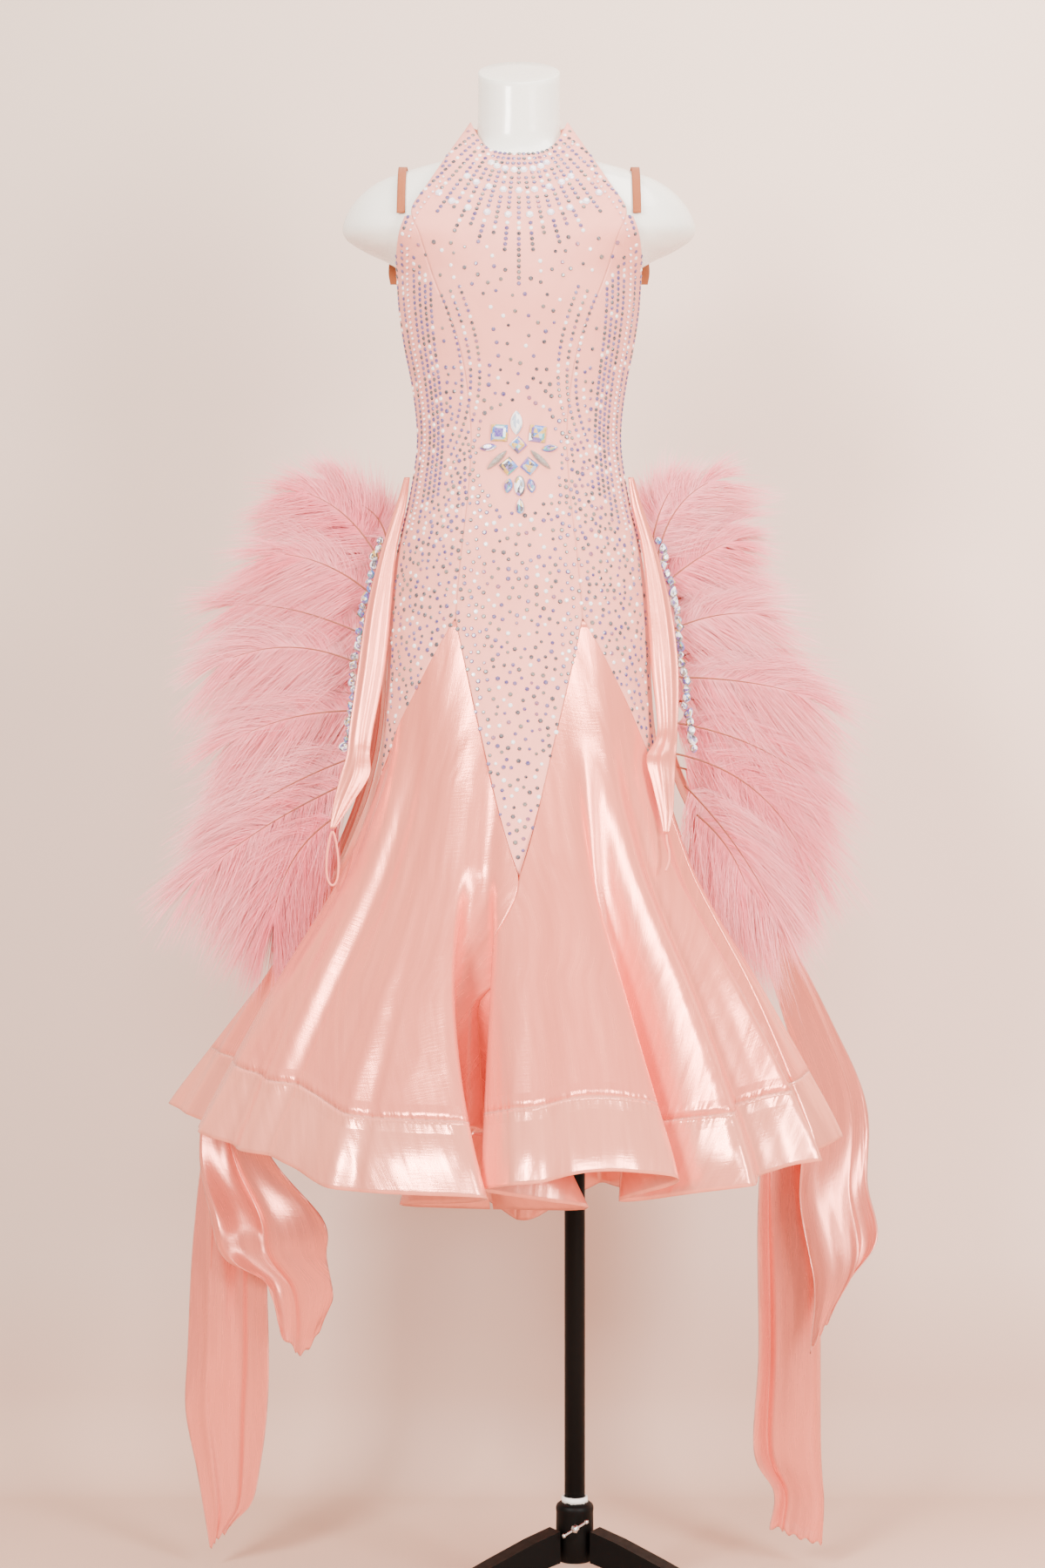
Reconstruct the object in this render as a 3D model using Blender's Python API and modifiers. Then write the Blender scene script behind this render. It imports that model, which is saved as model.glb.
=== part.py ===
"""A ballroom dance dress on a dress form and tripod stand, at real size.

Metres, +Z up, +X to the right and +Y to the back. The origin is on the floor under the
dress. Angles round the garment run from the centre front, and are positive to the right.
"""

from collections import namedtuple
from functools import lru_cache
from math import asin, atan2, cos, degrees, pi, radians, sin, sqrt

import bmesh
import bpy
from mathutils import Matrix, Vector
from mathutils.bvhtree import BVHTree

# ---------------------------------------------------------------- driving dimensions
CLOTH = 0.0015  # wall of every cloth piece
EASE = 0.0050  # from the form to the outside of the bodice
SEAM = 0.0004  # each piece stops this far short of a seam line
BODY_RADIUS = 0.12  # about how far a bodice seam is from the middle
SKIRT_RADIUS, SKIRT_FLARE = 0.16, 0.15  # the same for a skirt seam: at the hip, and what it gains
TIP_GAP, TIP_START = 0.004, 0.012  # a panel ends, and its last full row is, this far from its point
TIP_HALF = 0.45  # half the width of a panel's point, in degrees

CHEST = 1.525  # height of the armhole's lowest point
HIP = 1.135  # height where the godets start
LOW_BACK = 1.430  # height of the open back at its lowest
BAND = 0.080  # stiffened hem band, measured down the cloth
INFOLD_DROP = 0.26  # a fold hangs lower by this share of its depth

FORM_BOTTOM = 0.985
NECK_RADIUS = 0.047
NECK_FRONT, NECK_BACK = 1.744, 1.792  # height of the slanted neck top
STRAP_X = 0.1325  # the straps run over the shoulders here

POLE_X, POLE_RADIUS, POLE_FOOT = 0.064, 0.0118, 0.080
HUB_RADIUS, HUB_TOP, HUB_BOTTOM, HUB_BORE = 0.0213, 0.126, 0.060, 0.0130
SCREW_HEIGHT, SCREW_RADIUS = 0.103, 0.0030
TAPE_BORE, TAPE_FOOT, TAPE_TOP = 0.0126, HUB_TOP + 0.0005, HUB_TOP + 0.0070
LEG_WIDTH = 0.024
LEG_ANGLES = {"leg_right": -30, "leg_left": -150, "leg_back": 90}

# ---------------------------------------------------------------- tables of sections
Ring = namedtuple("Ring", "height half_width front back")
DRESS_RINGS = [
    Ring(1.525, 0.1405, 0.117, 0.100),
    Ring(1.490, 0.1380, 0.113, 0.097),
    Ring(1.450, 0.1320, 0.102, 0.091),
    Ring(1.410, 0.1240, 0.092, 0.087),
    Ring(1.370, 0.1185, 0.086, 0.085),
    Ring(1.335, 0.1175, 0.085, 0.087),
    Ring(1.280, 0.1255, 0.092, 0.098),
    Ring(1.210, 0.1410, 0.101, 0.117),
    Ring(1.135, 0.1490, 0.105, 0.124),
    Ring(1.050, 0.1530, 0.119, 0.142),
    Ring(0.970, 0.1610, 0.142, 0.166),
    Ring(0.900, 0.1850, 0.166, 0.192),
    Ring(0.840, 0.2120, 0.190, 0.213),
    Ring(0.720, 0.2870, 0.248, 0.262),
    Ring(0.620, 0.3430, 0.298, 0.300),
    Ring(0.550, 0.3780, 0.335, 0.327),
    Ring(0.400, 0.4250, 0.365, 0.365),
]
FORM_RINGS = [
    Ring(1.680, 0.0540, 0.046, 0.052),
    Ring(1.664, 0.0850, 0.052, 0.064),
    Ring(1.651, 0.1300, 0.060, 0.072),
    Ring(1.638, 0.1640, 0.069, 0.080),
    Ring(1.615, 0.1900, 0.083, 0.088),
    Ring(1.590, 0.2020, 0.095, 0.093),
    Ring(1.576, 0.1990, 0.101, 0.095),
    Ring(1.563, 0.1800, 0.105, 0.095),
    Ring(1.551, 0.1540, 0.108, 0.095),
    Ring(1.540, 0.1390, 0.110, 0.095),
]
FORM_BASE_RINGS = [
    Ring(1.060, 0.1450, 0.099, 0.122),
    Ring(1.015, 0.1380, 0.092, 0.115),
    Ring(FORM_BOTTOM, 0.1150, 0.074, 0.094),
]

# The front above the armhole's lowest point: each row crosses the chest, and lifts at its ends.
ChestRow = namedtuple("ChestRow", "height lift half_width front edge_front seam")
CHEST_ROWS = [
    ChestRow(1.660, 0.050, 0.0560, 0.0630, -0.004, 0.0560),
    ChestRow(1.651, 0.035, 0.0680, 0.0690, 0.024, 0.0680),
    ChestRow(1.639, 0.016, 0.0850, 0.0760, 0.052, 0.0850),
    ChestRow(1.620, 0.000, 0.1050, 0.0870, 0.075, 0.1050),
    ChestRow(1.600, 0.000, 0.1190, 0.0975, 0.079, 0.1180),
    ChestRow(1.585, 0.000, 0.1280, 0.1040, 0.082, 0.1200),
    ChestRow(1.565, 0.000, 0.1350, 0.1110, 0.078, 0.1120),
    ChestRow(1.545, 0.000, 0.1395, 0.1155, 0.040, 0.1055),
    ChestRow(CHEST, 0.000, 0.1405, 0.1170, 0.000, 0.0990),
]
SEAM_ROW = 5  # the princess seams leave the armholes at this row

# Princess seams and side seams, as angles from the centre front.
SeamRow = namedtuple("SeamRow", "height princess side back")
SEAM_ROWS = [
    SeamRow(1.525, degrees(asin(0.0990 / 0.1405)), 90.0, 150.0),
    SeamRow(1.450, 32.0, 91.0, 151.0),
    SeamRow(1.370, 28.0, 94.0, 152.0),
    SeamRow(1.250, 27.0, 98.0, 152.0),
    SeamRow(1.135, 28.5, 100.0, 152.0),
]

# Height of the hem at each angle round the skirt.
HemRow = namedtuple("HemRow", "angle height")
HEM_ROWS = [
    HemRow(-180, 0.428),
    HemRow(-150, 0.462),
    HemRow(-112, 0.548),
    HemRow(-80, 0.566),
    HemRow(-45, 0.550),
    HemRow(-25, 0.526),
    HemRow(0, 0.540),
    HemRow(15, 0.549),
    HemRow(32, 0.528),
    HemRow(60, 0.543),
    HemRow(90, 0.552),
    HemRow(112, 0.540),
    HemRow(150, 0.462),
    HemRow(180, 0.428),
]

# Cross-sections of a fold: along is the cloth's way through it, across is where that cloth
# lies and inward is how deep, both as shares of the fold's own half width and depth.
Section = namedtuple("Section", "along across inward")
FOLD_SECTIONS = {
    "soft": [
        Section(-1.00, -1.00, 0.00),
        Section(-0.50, -0.50, 0.50),
        Section(0.00, 0.00, 1.00),
        Section(0.50, 0.50, 0.50),
        Section(1.00, 1.00, 0.00),
    ],
    "knife": [
        Section(-1.00, -1.00, 0.00),
        Section(-0.60, -0.42, 0.02),
        Section(-0.30, 0.14, 0.12),
        Section(-0.10, 0.20, 0.32),
        Section(0.10, -0.06, 0.70),
        Section(0.32, -0.20, 1.00),
        Section(0.58, 0.12, 0.86),
        Section(0.80, 0.54, 0.34),
        Section(1.00, 1.00, 0.00),
    ],
    "box": [
        Section(-1.00, -1.00, 0.00),
        Section(-0.70, -0.20, 0.00),
        Section(-0.50, 0.64, 0.06),
        Section(-0.36, 0.20, 0.42),
        Section(-0.22, -0.85, 0.74),
        Section(-0.10, -0.75, 0.97),
        Section(0.10, 1.25, 0.97),
        Section(0.22, 1.65, 0.78),
        Section(0.36, 1.05, 0.52),
        Section(0.50, 0.50, 0.22),
        Section(0.70, 0.72, 0.09),
        Section(1.00, 1.00, 0.00),
    ],
}

# Folds of the skirt, at the hem. A hand of -1 turns a knife fold the other way.
Fold = namedtuple("Fold", "kind angle half_width depth start hand")
FOLDS = [
    Fold("box", -13, 12, 0.165, 0.46, 1),
    Fold("knife", 25, 12, 0.095, 0.22, 1),
    Fold("soft", -36, 11, 0.022, 0.15, 1),
    Fold("soft", 48, 10, 0.022, 0.25, 1),
    Fold("soft", -58, 11, 0.020, 0.30, 1),
    Fold("soft", 70, 12, 0.055, 0.25, 1),
    Fold("knife", -87, 11, 0.080, 0.32, -1),
    Fold("soft", -107, 11, -0.064, 0.40, 1),
    Fold("soft", -124, 10, 0.070, 0.37, 1),
    Fold("soft", 97, 12, 0.050, 0.30, 1),
    Fold("soft", 124, 12, 0.065, 0.37, 1),
    Fold("soft", -152, 13, 0.060, 0.30, 1),
    Fold("soft", 152, 13, 0.065, 0.30, 1),
    Fold("soft", 178, 12, 0.085, 0.35, 1),
]

# Body panels hang in points between the godets: where each point is, and how far down.
Point = namedtuple("Point", "angle reach")
POINTS = {
    "front": Point(0.0, 0.480),
    "front_side": Point(74.0, 0.300),
    "back_side": Point(127.0, 0.340),
    "back": Point(180.0, 0.430),
}

# Below the front point, the seam between the front godets leans into the deep fold.
FRONT_LEAN, LEAN_RUN = -13.0, 0.20  # in degrees, and over this share of the way down

# Satin bands that hang from the waist to the thigh, in front of the feather fans. Each ends in
# a kite that narrows to its tie.
BandRow = namedtuple("BandRow", "height inner outer front")
RIGHT_BAND_ROWS = [
    BandRow(1.300, 0.1245, 0.1310, 0.018),
    BandRow(1.268, 0.1285, 0.1400, 0.024),
    BandRow(1.215, 0.1400, 0.1570, 0.030),
    BandRow(1.150, 0.1455, 0.1730, 0.034),
    BandRow(1.080, 0.1500, 0.1810, 0.040),
    BandRow(1.010, 0.1560, 0.1790, 0.056),
    BandRow(0.980, 0.1430, 0.1760, 0.074),
    BandRow(0.950, 0.1490, 0.1740, 0.084),
    BandRow(0.920, 0.1560, 0.1720, 0.094),
    BandRow(0.896, 0.1610, 0.1670, 0.102),
]
LEFT_BAND_ROWS = [
    BandRow(1.300, 0.1245, 0.1310, 0.018),
    BandRow(1.268, 0.1285, 0.1400, 0.024),
    BandRow(1.215, 0.1390, 0.1570, 0.030),
    BandRow(1.150, 0.1450, 0.1730, 0.034),
    BandRow(1.080, 0.1520, 0.1830, 0.040),
    BandRow(1.010, 0.1650, 0.1920, 0.050),
    BandRow(0.985, 0.1680, 0.1940, 0.056),
    BandRow(0.960, 0.1680, 0.2010, 0.062),
    BandRow(0.930, 0.1860, 0.2080, 0.070),
    BandRow(0.900, 0.2060, 0.2120, 0.078),
]

# Feather fans: quill roots, the reach of the tips, and the fan's half thickness.
FanRow = namedtuple("FanRow", "root_x root_z tip_x tip_z")
RIGHT_FAN_ROWS = [
    FanRow(0.1500, 1.232, 0.160, 1.300),
    FanRow(0.1560, 1.205, 0.222, 1.326),
    FanRow(0.1610, 1.170, 0.272, 1.240),
    FanRow(0.1650, 1.120, 0.302, 1.160),
    FanRow(0.1680, 1.075, 0.350, 1.068),
    FanRow(0.1720, 1.030, 0.356, 0.975),
    FanRow(0.1780, 0.990, 0.356, 0.885),
    FanRow(0.1870, 0.955, 0.322, 0.795),
    FanRow(0.2030, 0.915, 0.268, 0.822),
]
LEFT_FAN_ROWS = [
    FanRow(0.1500, 1.232, 0.172, 1.268),
    FanRow(0.1560, 1.205, 0.262, 1.326),
    FanRow(0.1610, 1.170, 0.292, 1.250),
    FanRow(0.1650, 1.120, 0.340, 1.180),
    FanRow(0.1680, 1.075, 0.366, 1.100),
    FanRow(0.1720, 1.030, 0.358, 0.990),
    FanRow(0.1780, 0.990, 0.352, 0.910),
    FanRow(0.1870, 0.955, 0.390, 0.840),
    FanRow(0.2060, 0.915, 0.300, 0.778),
]
FAN_DEPTH, FAN_HALF, FAN_SWEEP = 0.006, 0.013, 0.035

# The chain of set stones beside each band's outer edge.
ChainRow = namedtuple("ChainRow", "height x")
CHAIN_ROWS = [
    ChainRow(1.228, 0.1610),
    ChainRow(1.201, 0.1665),
    ChainRow(1.166, 0.1745),
    ChainRow(1.116, 0.1840),
    ChainRow(1.071, 0.1890),
    ChainRow(1.026, 0.1930),
    ChainRow(0.986, 0.1990),
]
CHAIN_DEPTH, CHAIN_RADIUS = -0.0130, 0.0042

# Floats: long satin scarves, from behind the fans down the skirt and on towards the floor.
# Each row is a level: its middle, its width, the way that it faces, and its pleats' depth.
FloatRow = namedtuple("FloatRow", "height x y width turn pleat")
FLOATS = {
    "float_left_tail": [
        FloatRow(1.130, -0.1440, 0.080, 0.030, -62, 0.002),
        FloatRow(0.980, -0.1560, 0.100, 0.044, -60, 0.004),
        FloatRow(0.840, -0.1960, 0.142, 0.060, -56, 0.006),
        FloatRow(0.720, -0.2560, 0.176, 0.074, -50, 0.008),
        FloatRow(0.620, -0.3080, 0.200, 0.088, -42, 0.010),
        FloatRow(0.540, -0.3420, 0.200, 0.100, -30, 0.014),
        FloatRow(0.400, -0.3520, 0.190, 0.104, -12, 0.016),
        FloatRow(0.260, -0.3530, 0.180, 0.112, -8, 0.014),
        FloatRow(0.190, -0.3550, 0.178, 0.110, -6, 0.010),
        FloatRow(0.120, -0.3520, 0.176, 0.086, -6, 0.008),
        FloatRow(0.060, -0.3520, 0.174, 0.062, -4, 0.006),
        FloatRow(0.024, -0.3620, 0.174, 0.028, -4, 0.003),
    ],
    "float_left_panel": [
        FloatRow(1.130, -0.1560, 0.066, 0.020, -66, 0.002),
        FloatRow(0.980, -0.1720, 0.084, 0.030, -64, 0.003),
        FloatRow(0.840, -0.2240, 0.122, 0.040, -60, 0.004),
        FloatRow(0.720, -0.2900, 0.150, 0.056, -56, 0.005),
        FloatRow(0.620, -0.3500, 0.176, 0.070, -50, 0.006),
        FloatRow(0.510, -0.3480, 0.176, 0.100, -26, 0.010),
        FloatRow(0.430, -0.3060, 0.142, 0.138, -6, 0.012),
        FloatRow(0.385, -0.2960, 0.136, 0.126, -2, 0.010),
        FloatRow(0.345, -0.2700, 0.134, 0.086, 0, 0.008),
        FloatRow(0.300, -0.2630, 0.134, 0.076, 2, 0.008),
        FloatRow(0.258, -0.2650, 0.136, 0.056, 4, 0.006),
    ],
    "float_right_tail": [
        FloatRow(1.130, 0.1440, 0.080, 0.030, 62, 0.002),
        FloatRow(0.980, 0.1560, 0.100, 0.044, 60, 0.004),
        FloatRow(0.840, 0.1960, 0.142, 0.060, 56, 0.006),
        FloatRow(0.720, 0.2520, 0.180, 0.070, 50, 0.008),
        FloatRow(0.620, 0.3000, 0.206, 0.080, 42, 0.010),
        FloatRow(0.540, 0.3260, 0.204, 0.084, 30, 0.014),
        FloatRow(0.400, 0.3300, 0.190, 0.084, 12, 0.018),
        FloatRow(0.260, 0.3300, 0.180, 0.080, 8, 0.018),
        FloatRow(0.140, 0.3270, 0.172, 0.084, 5, 0.014),
        FloatRow(0.080, 0.3400, 0.170, 0.062, 2, 0.010),
        FloatRow(0.030, 0.3360, 0.168, 0.064, 0, 0.008),
    ],
    "float_right_panel": [
        FloatRow(1.130, 0.1580, 0.066, 0.020, 66, 0.002),
        FloatRow(0.980, 0.1820, 0.084, 0.030, 64, 0.003),
        FloatRow(0.860, 0.2440, 0.104, 0.044, 58, 0.004),
        FloatRow(0.770, 0.3020, 0.124, 0.060, 50, 0.006),
        FloatRow(0.660, 0.3520, 0.155, 0.080, 44, 0.008),
        FloatRow(0.560, 0.3850, 0.168, 0.092, 36, 0.010),
        FloatRow(0.450, 0.3800, 0.156, 0.084, 20, 0.012),
        FloatRow(0.350, 0.3900, 0.134, 0.072, 5, 0.010),
        FloatRow(0.270, 0.3660, 0.130, 0.034, 0, 0.006),
    ],
}

# Sewn stones of the waist ornament: place on the front, half sizes, and turn.
Stone = namedtuple("Stone", "name x z half_width half_height turn sides")
STONES = [
    Stone("stone_top", -0.0028, 1.3536, 0.0068, 0.0134, 0, 8),
    Stone("stone_square_left", -0.0218, 1.3424, 0.0130, 0.0130, 48, 4),
    Stone("stone_square_right", 0.0208, 1.3414, 0.0130, 0.0130, 52, 4),
    Stone("stone_centre", -0.0009, 1.3286, 0.0100, 0.0100, 2, 4),
    Stone("stone_outer_left", -0.0340, 1.3264, 0.0040, 0.0097, 84, 6),
    Stone("stone_outer_right", 0.0343, 1.3254, 0.0040, 0.0094, 80, 6),
    Stone("stone_leaf_left", -0.0245, 1.3118, 0.0034, 0.0150, 46, 6),
    Stone("stone_leaf_right", 0.0240, 1.3122, 0.0034, 0.0150, -46, 6),
    Stone("stone_cushion_left", -0.0116, 1.3046, 0.0106, 0.0108, 4, 4),
    Stone("stone_cushion_right", 0.0114, 1.3046, 0.0104, 0.0108, -6, 4),
    Stone("stone_drop_left", -0.0118, 1.2823, 0.0046, 0.0084, 10, 6),
    Stone("stone_drop_middle", 0.0008, 1.2823, 0.0060, 0.0117, 0, 8),
    Stone("stone_drop_right", 0.0137, 1.2826, 0.0048, 0.0084, -8, 6),
    Stone("stone_end", 0.0013, 1.2590, 0.0046, 0.0086, 0, 6),
]
STONE_HEIGHT = 0.0045

# ---------------------------------------------------------------- materials
FINISHES = {
    "jersey": ((0.93, 0.66, 0.62), 0.75, 0.0),
    "satin": ((0.94, 0.62, 0.55), 0.32, 0.0),
    "strap": ((0.62, 0.38, 0.25), 0.60, 0.0),
    "feather": ((0.92, 0.50, 0.56), 0.80, 0.0),
    "crystal": ((0.85, 0.82, 0.88), 0.10, 0.6),
    "form_shell": ((0.88, 0.87, 0.83), 0.25, 0.0),
    "black_steel": ((0.02, 0.02, 0.02), 0.35, 0.6),
    "screw_steel": ((0.70, 0.70, 0.72), 0.20, 1.0),
    "packing": ((0.90, 0.88, 0.84), 0.80, 0.0),
}


def finish(obj, name):
    """Give obj the Principled material of that name."""
    material = bpy.data.materials.get(name)
    if material is None:
        colour, roughness, metallic = FINISHES[name]
        material = bpy.data.materials.new(name)
        material.use_nodes = True
        shader = material.node_tree.nodes["Principled BSDF"]
        shader.inputs["Base Color"].default_value = (*colour, 1.0)
        shader.inputs["Roughness"].default_value = roughness
        shader.inputs["Metallic"].default_value = metallic
    obj.data.materials.append(material)
    return obj


# ---------------------------------------------------------------- tables read smoothly
def column_at(rows, place, column, key="height"):
    """A column's value at a place between the rows, on a smooth curve through them."""
    rows = sorted(rows, key=lambda row: getattr(row, key))
    keys = [getattr(row, key) for row in rows]
    values = [getattr(row, column) for row in rows]
    if place <= keys[0]:
        return values[0]
    if place >= keys[-1]:
        return values[-1]
    i = next(n for n in range(len(keys) - 1) if place <= keys[n + 1])

    def slope(n):
        before, after = max(n - 1, 0), min(n + 1, len(keys) - 1)
        return (values[after] - values[before]) / (keys[after] - keys[before])

    span = keys[i + 1] - keys[i]
    t = (place - keys[i]) / span
    return (
        (2 * t**3 - 3 * t**2 + 1) * values[i]
        + (t**3 - 2 * t**2 + t) * span * slope(i)
        + (3 * t**2 - 2 * t**3) * values[i + 1]
        + (t**3 - t**2) * span * slope(i + 1)
    )


def smooth_step(value):
    value = min(max(value, 0.0), 1.0)
    return value * value * (3 - 2 * value)


# ---------------------------------------------------------------- the garment's surface
def hem_height(angle):
    turn = (angle + 180) % 360 - 180
    return column_at(HEM_ROWS, turn, "height", key="angle")


def ring_point(angle, height):
    """The outside of the cloth at an angle and height, before the folds."""
    half_width = column_at(DRESS_RINGS, height, "half_width")
    a = radians(angle)
    depth = column_at(DRESS_RINGS, height, "front" if cos(a) > 0 else "back")
    return Vector((half_width * sin(a), -depth * cos(a), height))


def fold_shift(fold, angle, down, half_width):
    """How one fold moves the cloth at this angle, this share of the way to the hem."""
    along = fold.hand * ((angle - fold.angle + 180) % 360 - 180) / fold.half_width
    if abs(along) >= 1 or down <= fold.start:
        return Vector()
    grown = ((down - fold.start) / (1 - fold.start)) ** 1.2
    section = FOLD_SECTIONS[fold.kind]
    across = column_at(section, along, "across", key="along") - along
    inward = column_at(section, along, "inward", key="along") * fold.depth
    sideways = fold.hand * across * radians(fold.half_width) * half_width
    a = radians(fold.angle)
    shift = Vector((cos(a), sin(a), 0)) * sideways + Vector((-sin(a), cos(a), 0)) * inward
    shift.z = -INFOLD_DROP * inward
    return shift * grown


def front_point(x, height):
    """The point of the bodice's front at this x and height."""
    share = x / column_at(DRESS_RINGS, height, "half_width")
    return ring_point(degrees(asin(share)), height)


def skirt_point(angle, down):
    """A point of the skirt: down is 0 at the hip and 1 at the hem."""
    height = HIP + (hem_height(angle) - HIP) * down
    point = ring_point(angle, height)
    half_width = column_at(DRESS_RINGS, height, "half_width")
    for fold in FOLDS:
        point += fold_shift(fold, angle, down, half_width)
    return point


@lru_cache(maxsize=None)
def skirt_length(angle):
    """The length of the cloth from the hip to the hem at this angle."""
    steps = 12
    points = [skirt_point(angle, n / steps) for n in range(steps + 1)]
    return sum((b - a).length for a, b in zip(points, points[1:]))


def band_top(angle):
    """Where the hem band starts, as a share of the way down."""
    return 1 - BAND / skirt_length(angle)


def chest_point(across, row):
    """A point of the front above the armholes: across runs from -1 to 1, row may be a fraction."""
    i = min(int(row), len(CHEST_ROWS) - 2)
    share = row - i
    upper, lower = CHEST_ROWS[i], CHEST_ROWS[i + 1]
    height, lift, half_width, front, edge, _ = (
        a + (b - a) * share for a, b in zip(upper, lower)
    )
    a = radians(90 * across)
    y = -(edge + (front - edge) * cos(a))
    return Vector((half_width * sin(a), y, height + lift * abs(sin(a)) ** 3.5))


# ---------------------------------------------------------------- makers
def new_object(name, mesh_or_curve):
    obj = bpy.data.objects.new(name, mesh_or_curve)
    PARTS.objects.link(obj)
    return obj


def surface_of(rows):
    """The open surface through rows of points, for measuring against."""
    width = len(rows[0])
    points = [point for row in rows for point in row]
    faces = []
    for i in range(len(rows) - 1):
        for n in range(width - 1):
            corner = i * width + n
            faces.append((corner, corner + width, corner + width + 1, corner + 1))
    return BVHTree.FromPolygons(points, faces)


def cloth_piece(name, rows, slot="satin", thickness=CLOTH):
    """A cloth wall: an open surface through rows of points, thickened inwards.

    Each row runs from left to right as seen from outside, and the rows run from top to bottom.
    """
    mesh = bmesh.new()
    grid = [[mesh.verts.new(point) for point in row] for row in rows]
    for upper, lower in zip(grid, grid[1:]):
        for n in range(len(upper) - 1):
            mesh.faces.new((upper[n], lower[n], lower[n + 1], upper[n + 1]))
    data = bpy.data.meshes.new(name)
    mesh.to_mesh(data)
    mesh.free()
    obj = new_object(name, data)
    wall = obj.modifiers.new("cloth", "SOLIDIFY")
    wall.thickness = thickness
    wall.offset = -1
    wall.use_even_offset = True
    data.shade_smooth()
    return finish(obj, slot)


def loft(name, sections, slot):
    """A closed solid through rings of points, all with the same count, capped at both ends."""
    mesh = bmesh.new()
    rings = [[mesh.verts.new(point) for point in ring] for ring in sections]
    count = len(rings[0])
    for low, high in zip(rings, rings[1:]):
        for n in range(count):
            m = (n + 1) % count
            mesh.faces.new((low[n], low[m], high[m], high[n]))
    mesh.faces.new(list(reversed(rings[0])))
    mesh.faces.new(rings[-1])
    bmesh.ops.recalc_face_normals(mesh, faces=mesh.faces)
    data = bpy.data.meshes.new(name)
    mesh.to_mesh(data)
    mesh.free()
    return finish(new_object(name, data), slot)


def turned(name, profile, x, y, slot, steps=32):
    """A turned solid: a closed profile of (radius, height), outer side first from the top."""
    mesh = bmesh.new()
    verts = [mesh.verts.new((radius, 0, height)) for radius, height in profile]
    for a, b in zip(verts, verts[1:] + verts[:1]):
        mesh.edges.new((a, b))
    data = bpy.data.meshes.new(name)
    mesh.to_mesh(data)
    mesh.free()
    obj = new_object(name, data)
    obj.location = (x, y, 0)
    screw = obj.modifiers.new("turn", "SCREW")
    screw.steps = screw.render_steps = steps
    screw.use_merge_vertices = True
    screw.merge_threshold = 0.00005
    return finish(obj, slot)


def boolean(obj, other, operation):
    step = obj.modifiers.new(operation.lower(), "BOOLEAN")
    step.operation = operation
    step.object = other
    other.hide_render = True
    other.display_type = "WIRE"
    PARTS.objects.unlink(other)
    CUTTERS.objects.link(other)


def mesh_object(name, make):
    """An object whose mesh is made by make(bmesh)."""
    mesh = bmesh.new()
    make(mesh)
    data = bpy.data.meshes.new(name)
    mesh.to_mesh(data)
    mesh.free()
    return new_object(name, data)


# ---------------------------------------------------------------- the dress form
def form_ring(ring, count=24):
    points = []
    for n in range(count):
        a = 2 * pi * n / count
        depth = ring.front if cos(a) > 0 else ring.back
        points.append((ring.half_width * sin(a), -depth * cos(a), ring.height))
    return points


def make_form():
    """The torso, its shoulders and cut neck, in one smooth shell shape."""
    worn = [
        Ring(row.height, row.half_width - EASE, row.front - EASE, row.back - EASE)
        for row in DRESS_RINGS
        if row.height >= HIP
    ]
    rings = FORM_RINGS + worn + FORM_BASE_RINGS
    torso = loft("form_torso", [form_ring(ring) for ring in rings], "form_shell")

    def neck(mesh):
        low = 1.640
        made = bmesh.ops.create_cone(
            mesh, cap_ends=True, segments=28, radius1=NECK_RADIUS + 0.004,
            radius2=NECK_RADIUS, depth=1.0,
        )
        for vert in made["verts"]:
            top = vert.co.z > 0
            share = (vert.co.y / NECK_RADIUS + 1) / 2
            vert.co.z = NECK_FRONT + (NECK_BACK - NECK_FRONT) * share if top else low

    boolean(torso, mesh_object("neck_block", neck), "UNION")


# ---------------------------------------------------------------- the stand
def make_stand():
    fitting = [
        (0.034, FORM_BOTTOM - 0.0003), (0.034, FORM_BOTTOM - 0.0043),
        (0.0180, FORM_BOTTOM - 0.0043), (0.0180, FORM_BOTTOM - 0.0300),
        (HUB_BORE - 0.0006, FORM_BOTTOM - 0.0300), (HUB_BORE - 0.0006, FORM_BOTTOM - 0.0003),
    ]
    turned("form_fitting", fitting, POLE_X, 0, "screw_steel")
    pole = mesh_object(
        "pole",
        lambda mesh: bmesh.ops.create_cone(
            mesh, cap_ends=True, segments=32, radius1=POLE_RADIUS, radius2=POLE_RADIUS,
            depth=FORM_BOTTOM - 0.0006 - POLE_FOOT,
        ),
    )
    pole.location = (POLE_X, 0, (FORM_BOTTOM - 0.0006 + POLE_FOOT) / 2)
    finish(pole, "black_steel")

    floor_of_bore = POLE_FOOT - 0.0010
    hub_profile = [
        (HUB_RADIUS - 0.004, HUB_TOP), (HUB_RADIUS, HUB_TOP - 0.005),
        (HUB_RADIUS + 0.0006, HUB_BOTTOM), (0, HUB_BOTTOM), (0, floor_of_bore),
        (HUB_BORE, floor_of_bore), (HUB_BORE, HUB_TOP),
    ]
    hub = turned("hub", hub_profile, POLE_X, 0, "black_steel")

    def screw_hole(mesh):
        bmesh.ops.create_cone(
            mesh, cap_ends=True, segments=20, radius1=SCREW_RADIUS + 0.0005,
            radius2=SCREW_RADIUS + 0.0005, depth=0.030,
            matrix=Matrix.Translation((POLE_X, -0.021, SCREW_HEIGHT)) @ Matrix.Rotation(pi / 2, 4, "X"),
        )

    boolean(hub, mesh_object("screw_hole", screw_hole), "DIFFERENCE")
    make_clamp_screw()

    tape = [
        (TAPE_BORE + 0.0018, TAPE_TOP), (TAPE_BORE + 0.0024, TAPE_FOOT),
        (TAPE_BORE, TAPE_FOOT), (TAPE_BORE, TAPE_TOP),
    ]
    turned("packing_tape", tape, POLE_X, 0, "packing")
    for name, angle in LEG_ANGLES.items():
        make_leg(name, angle)


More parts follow.
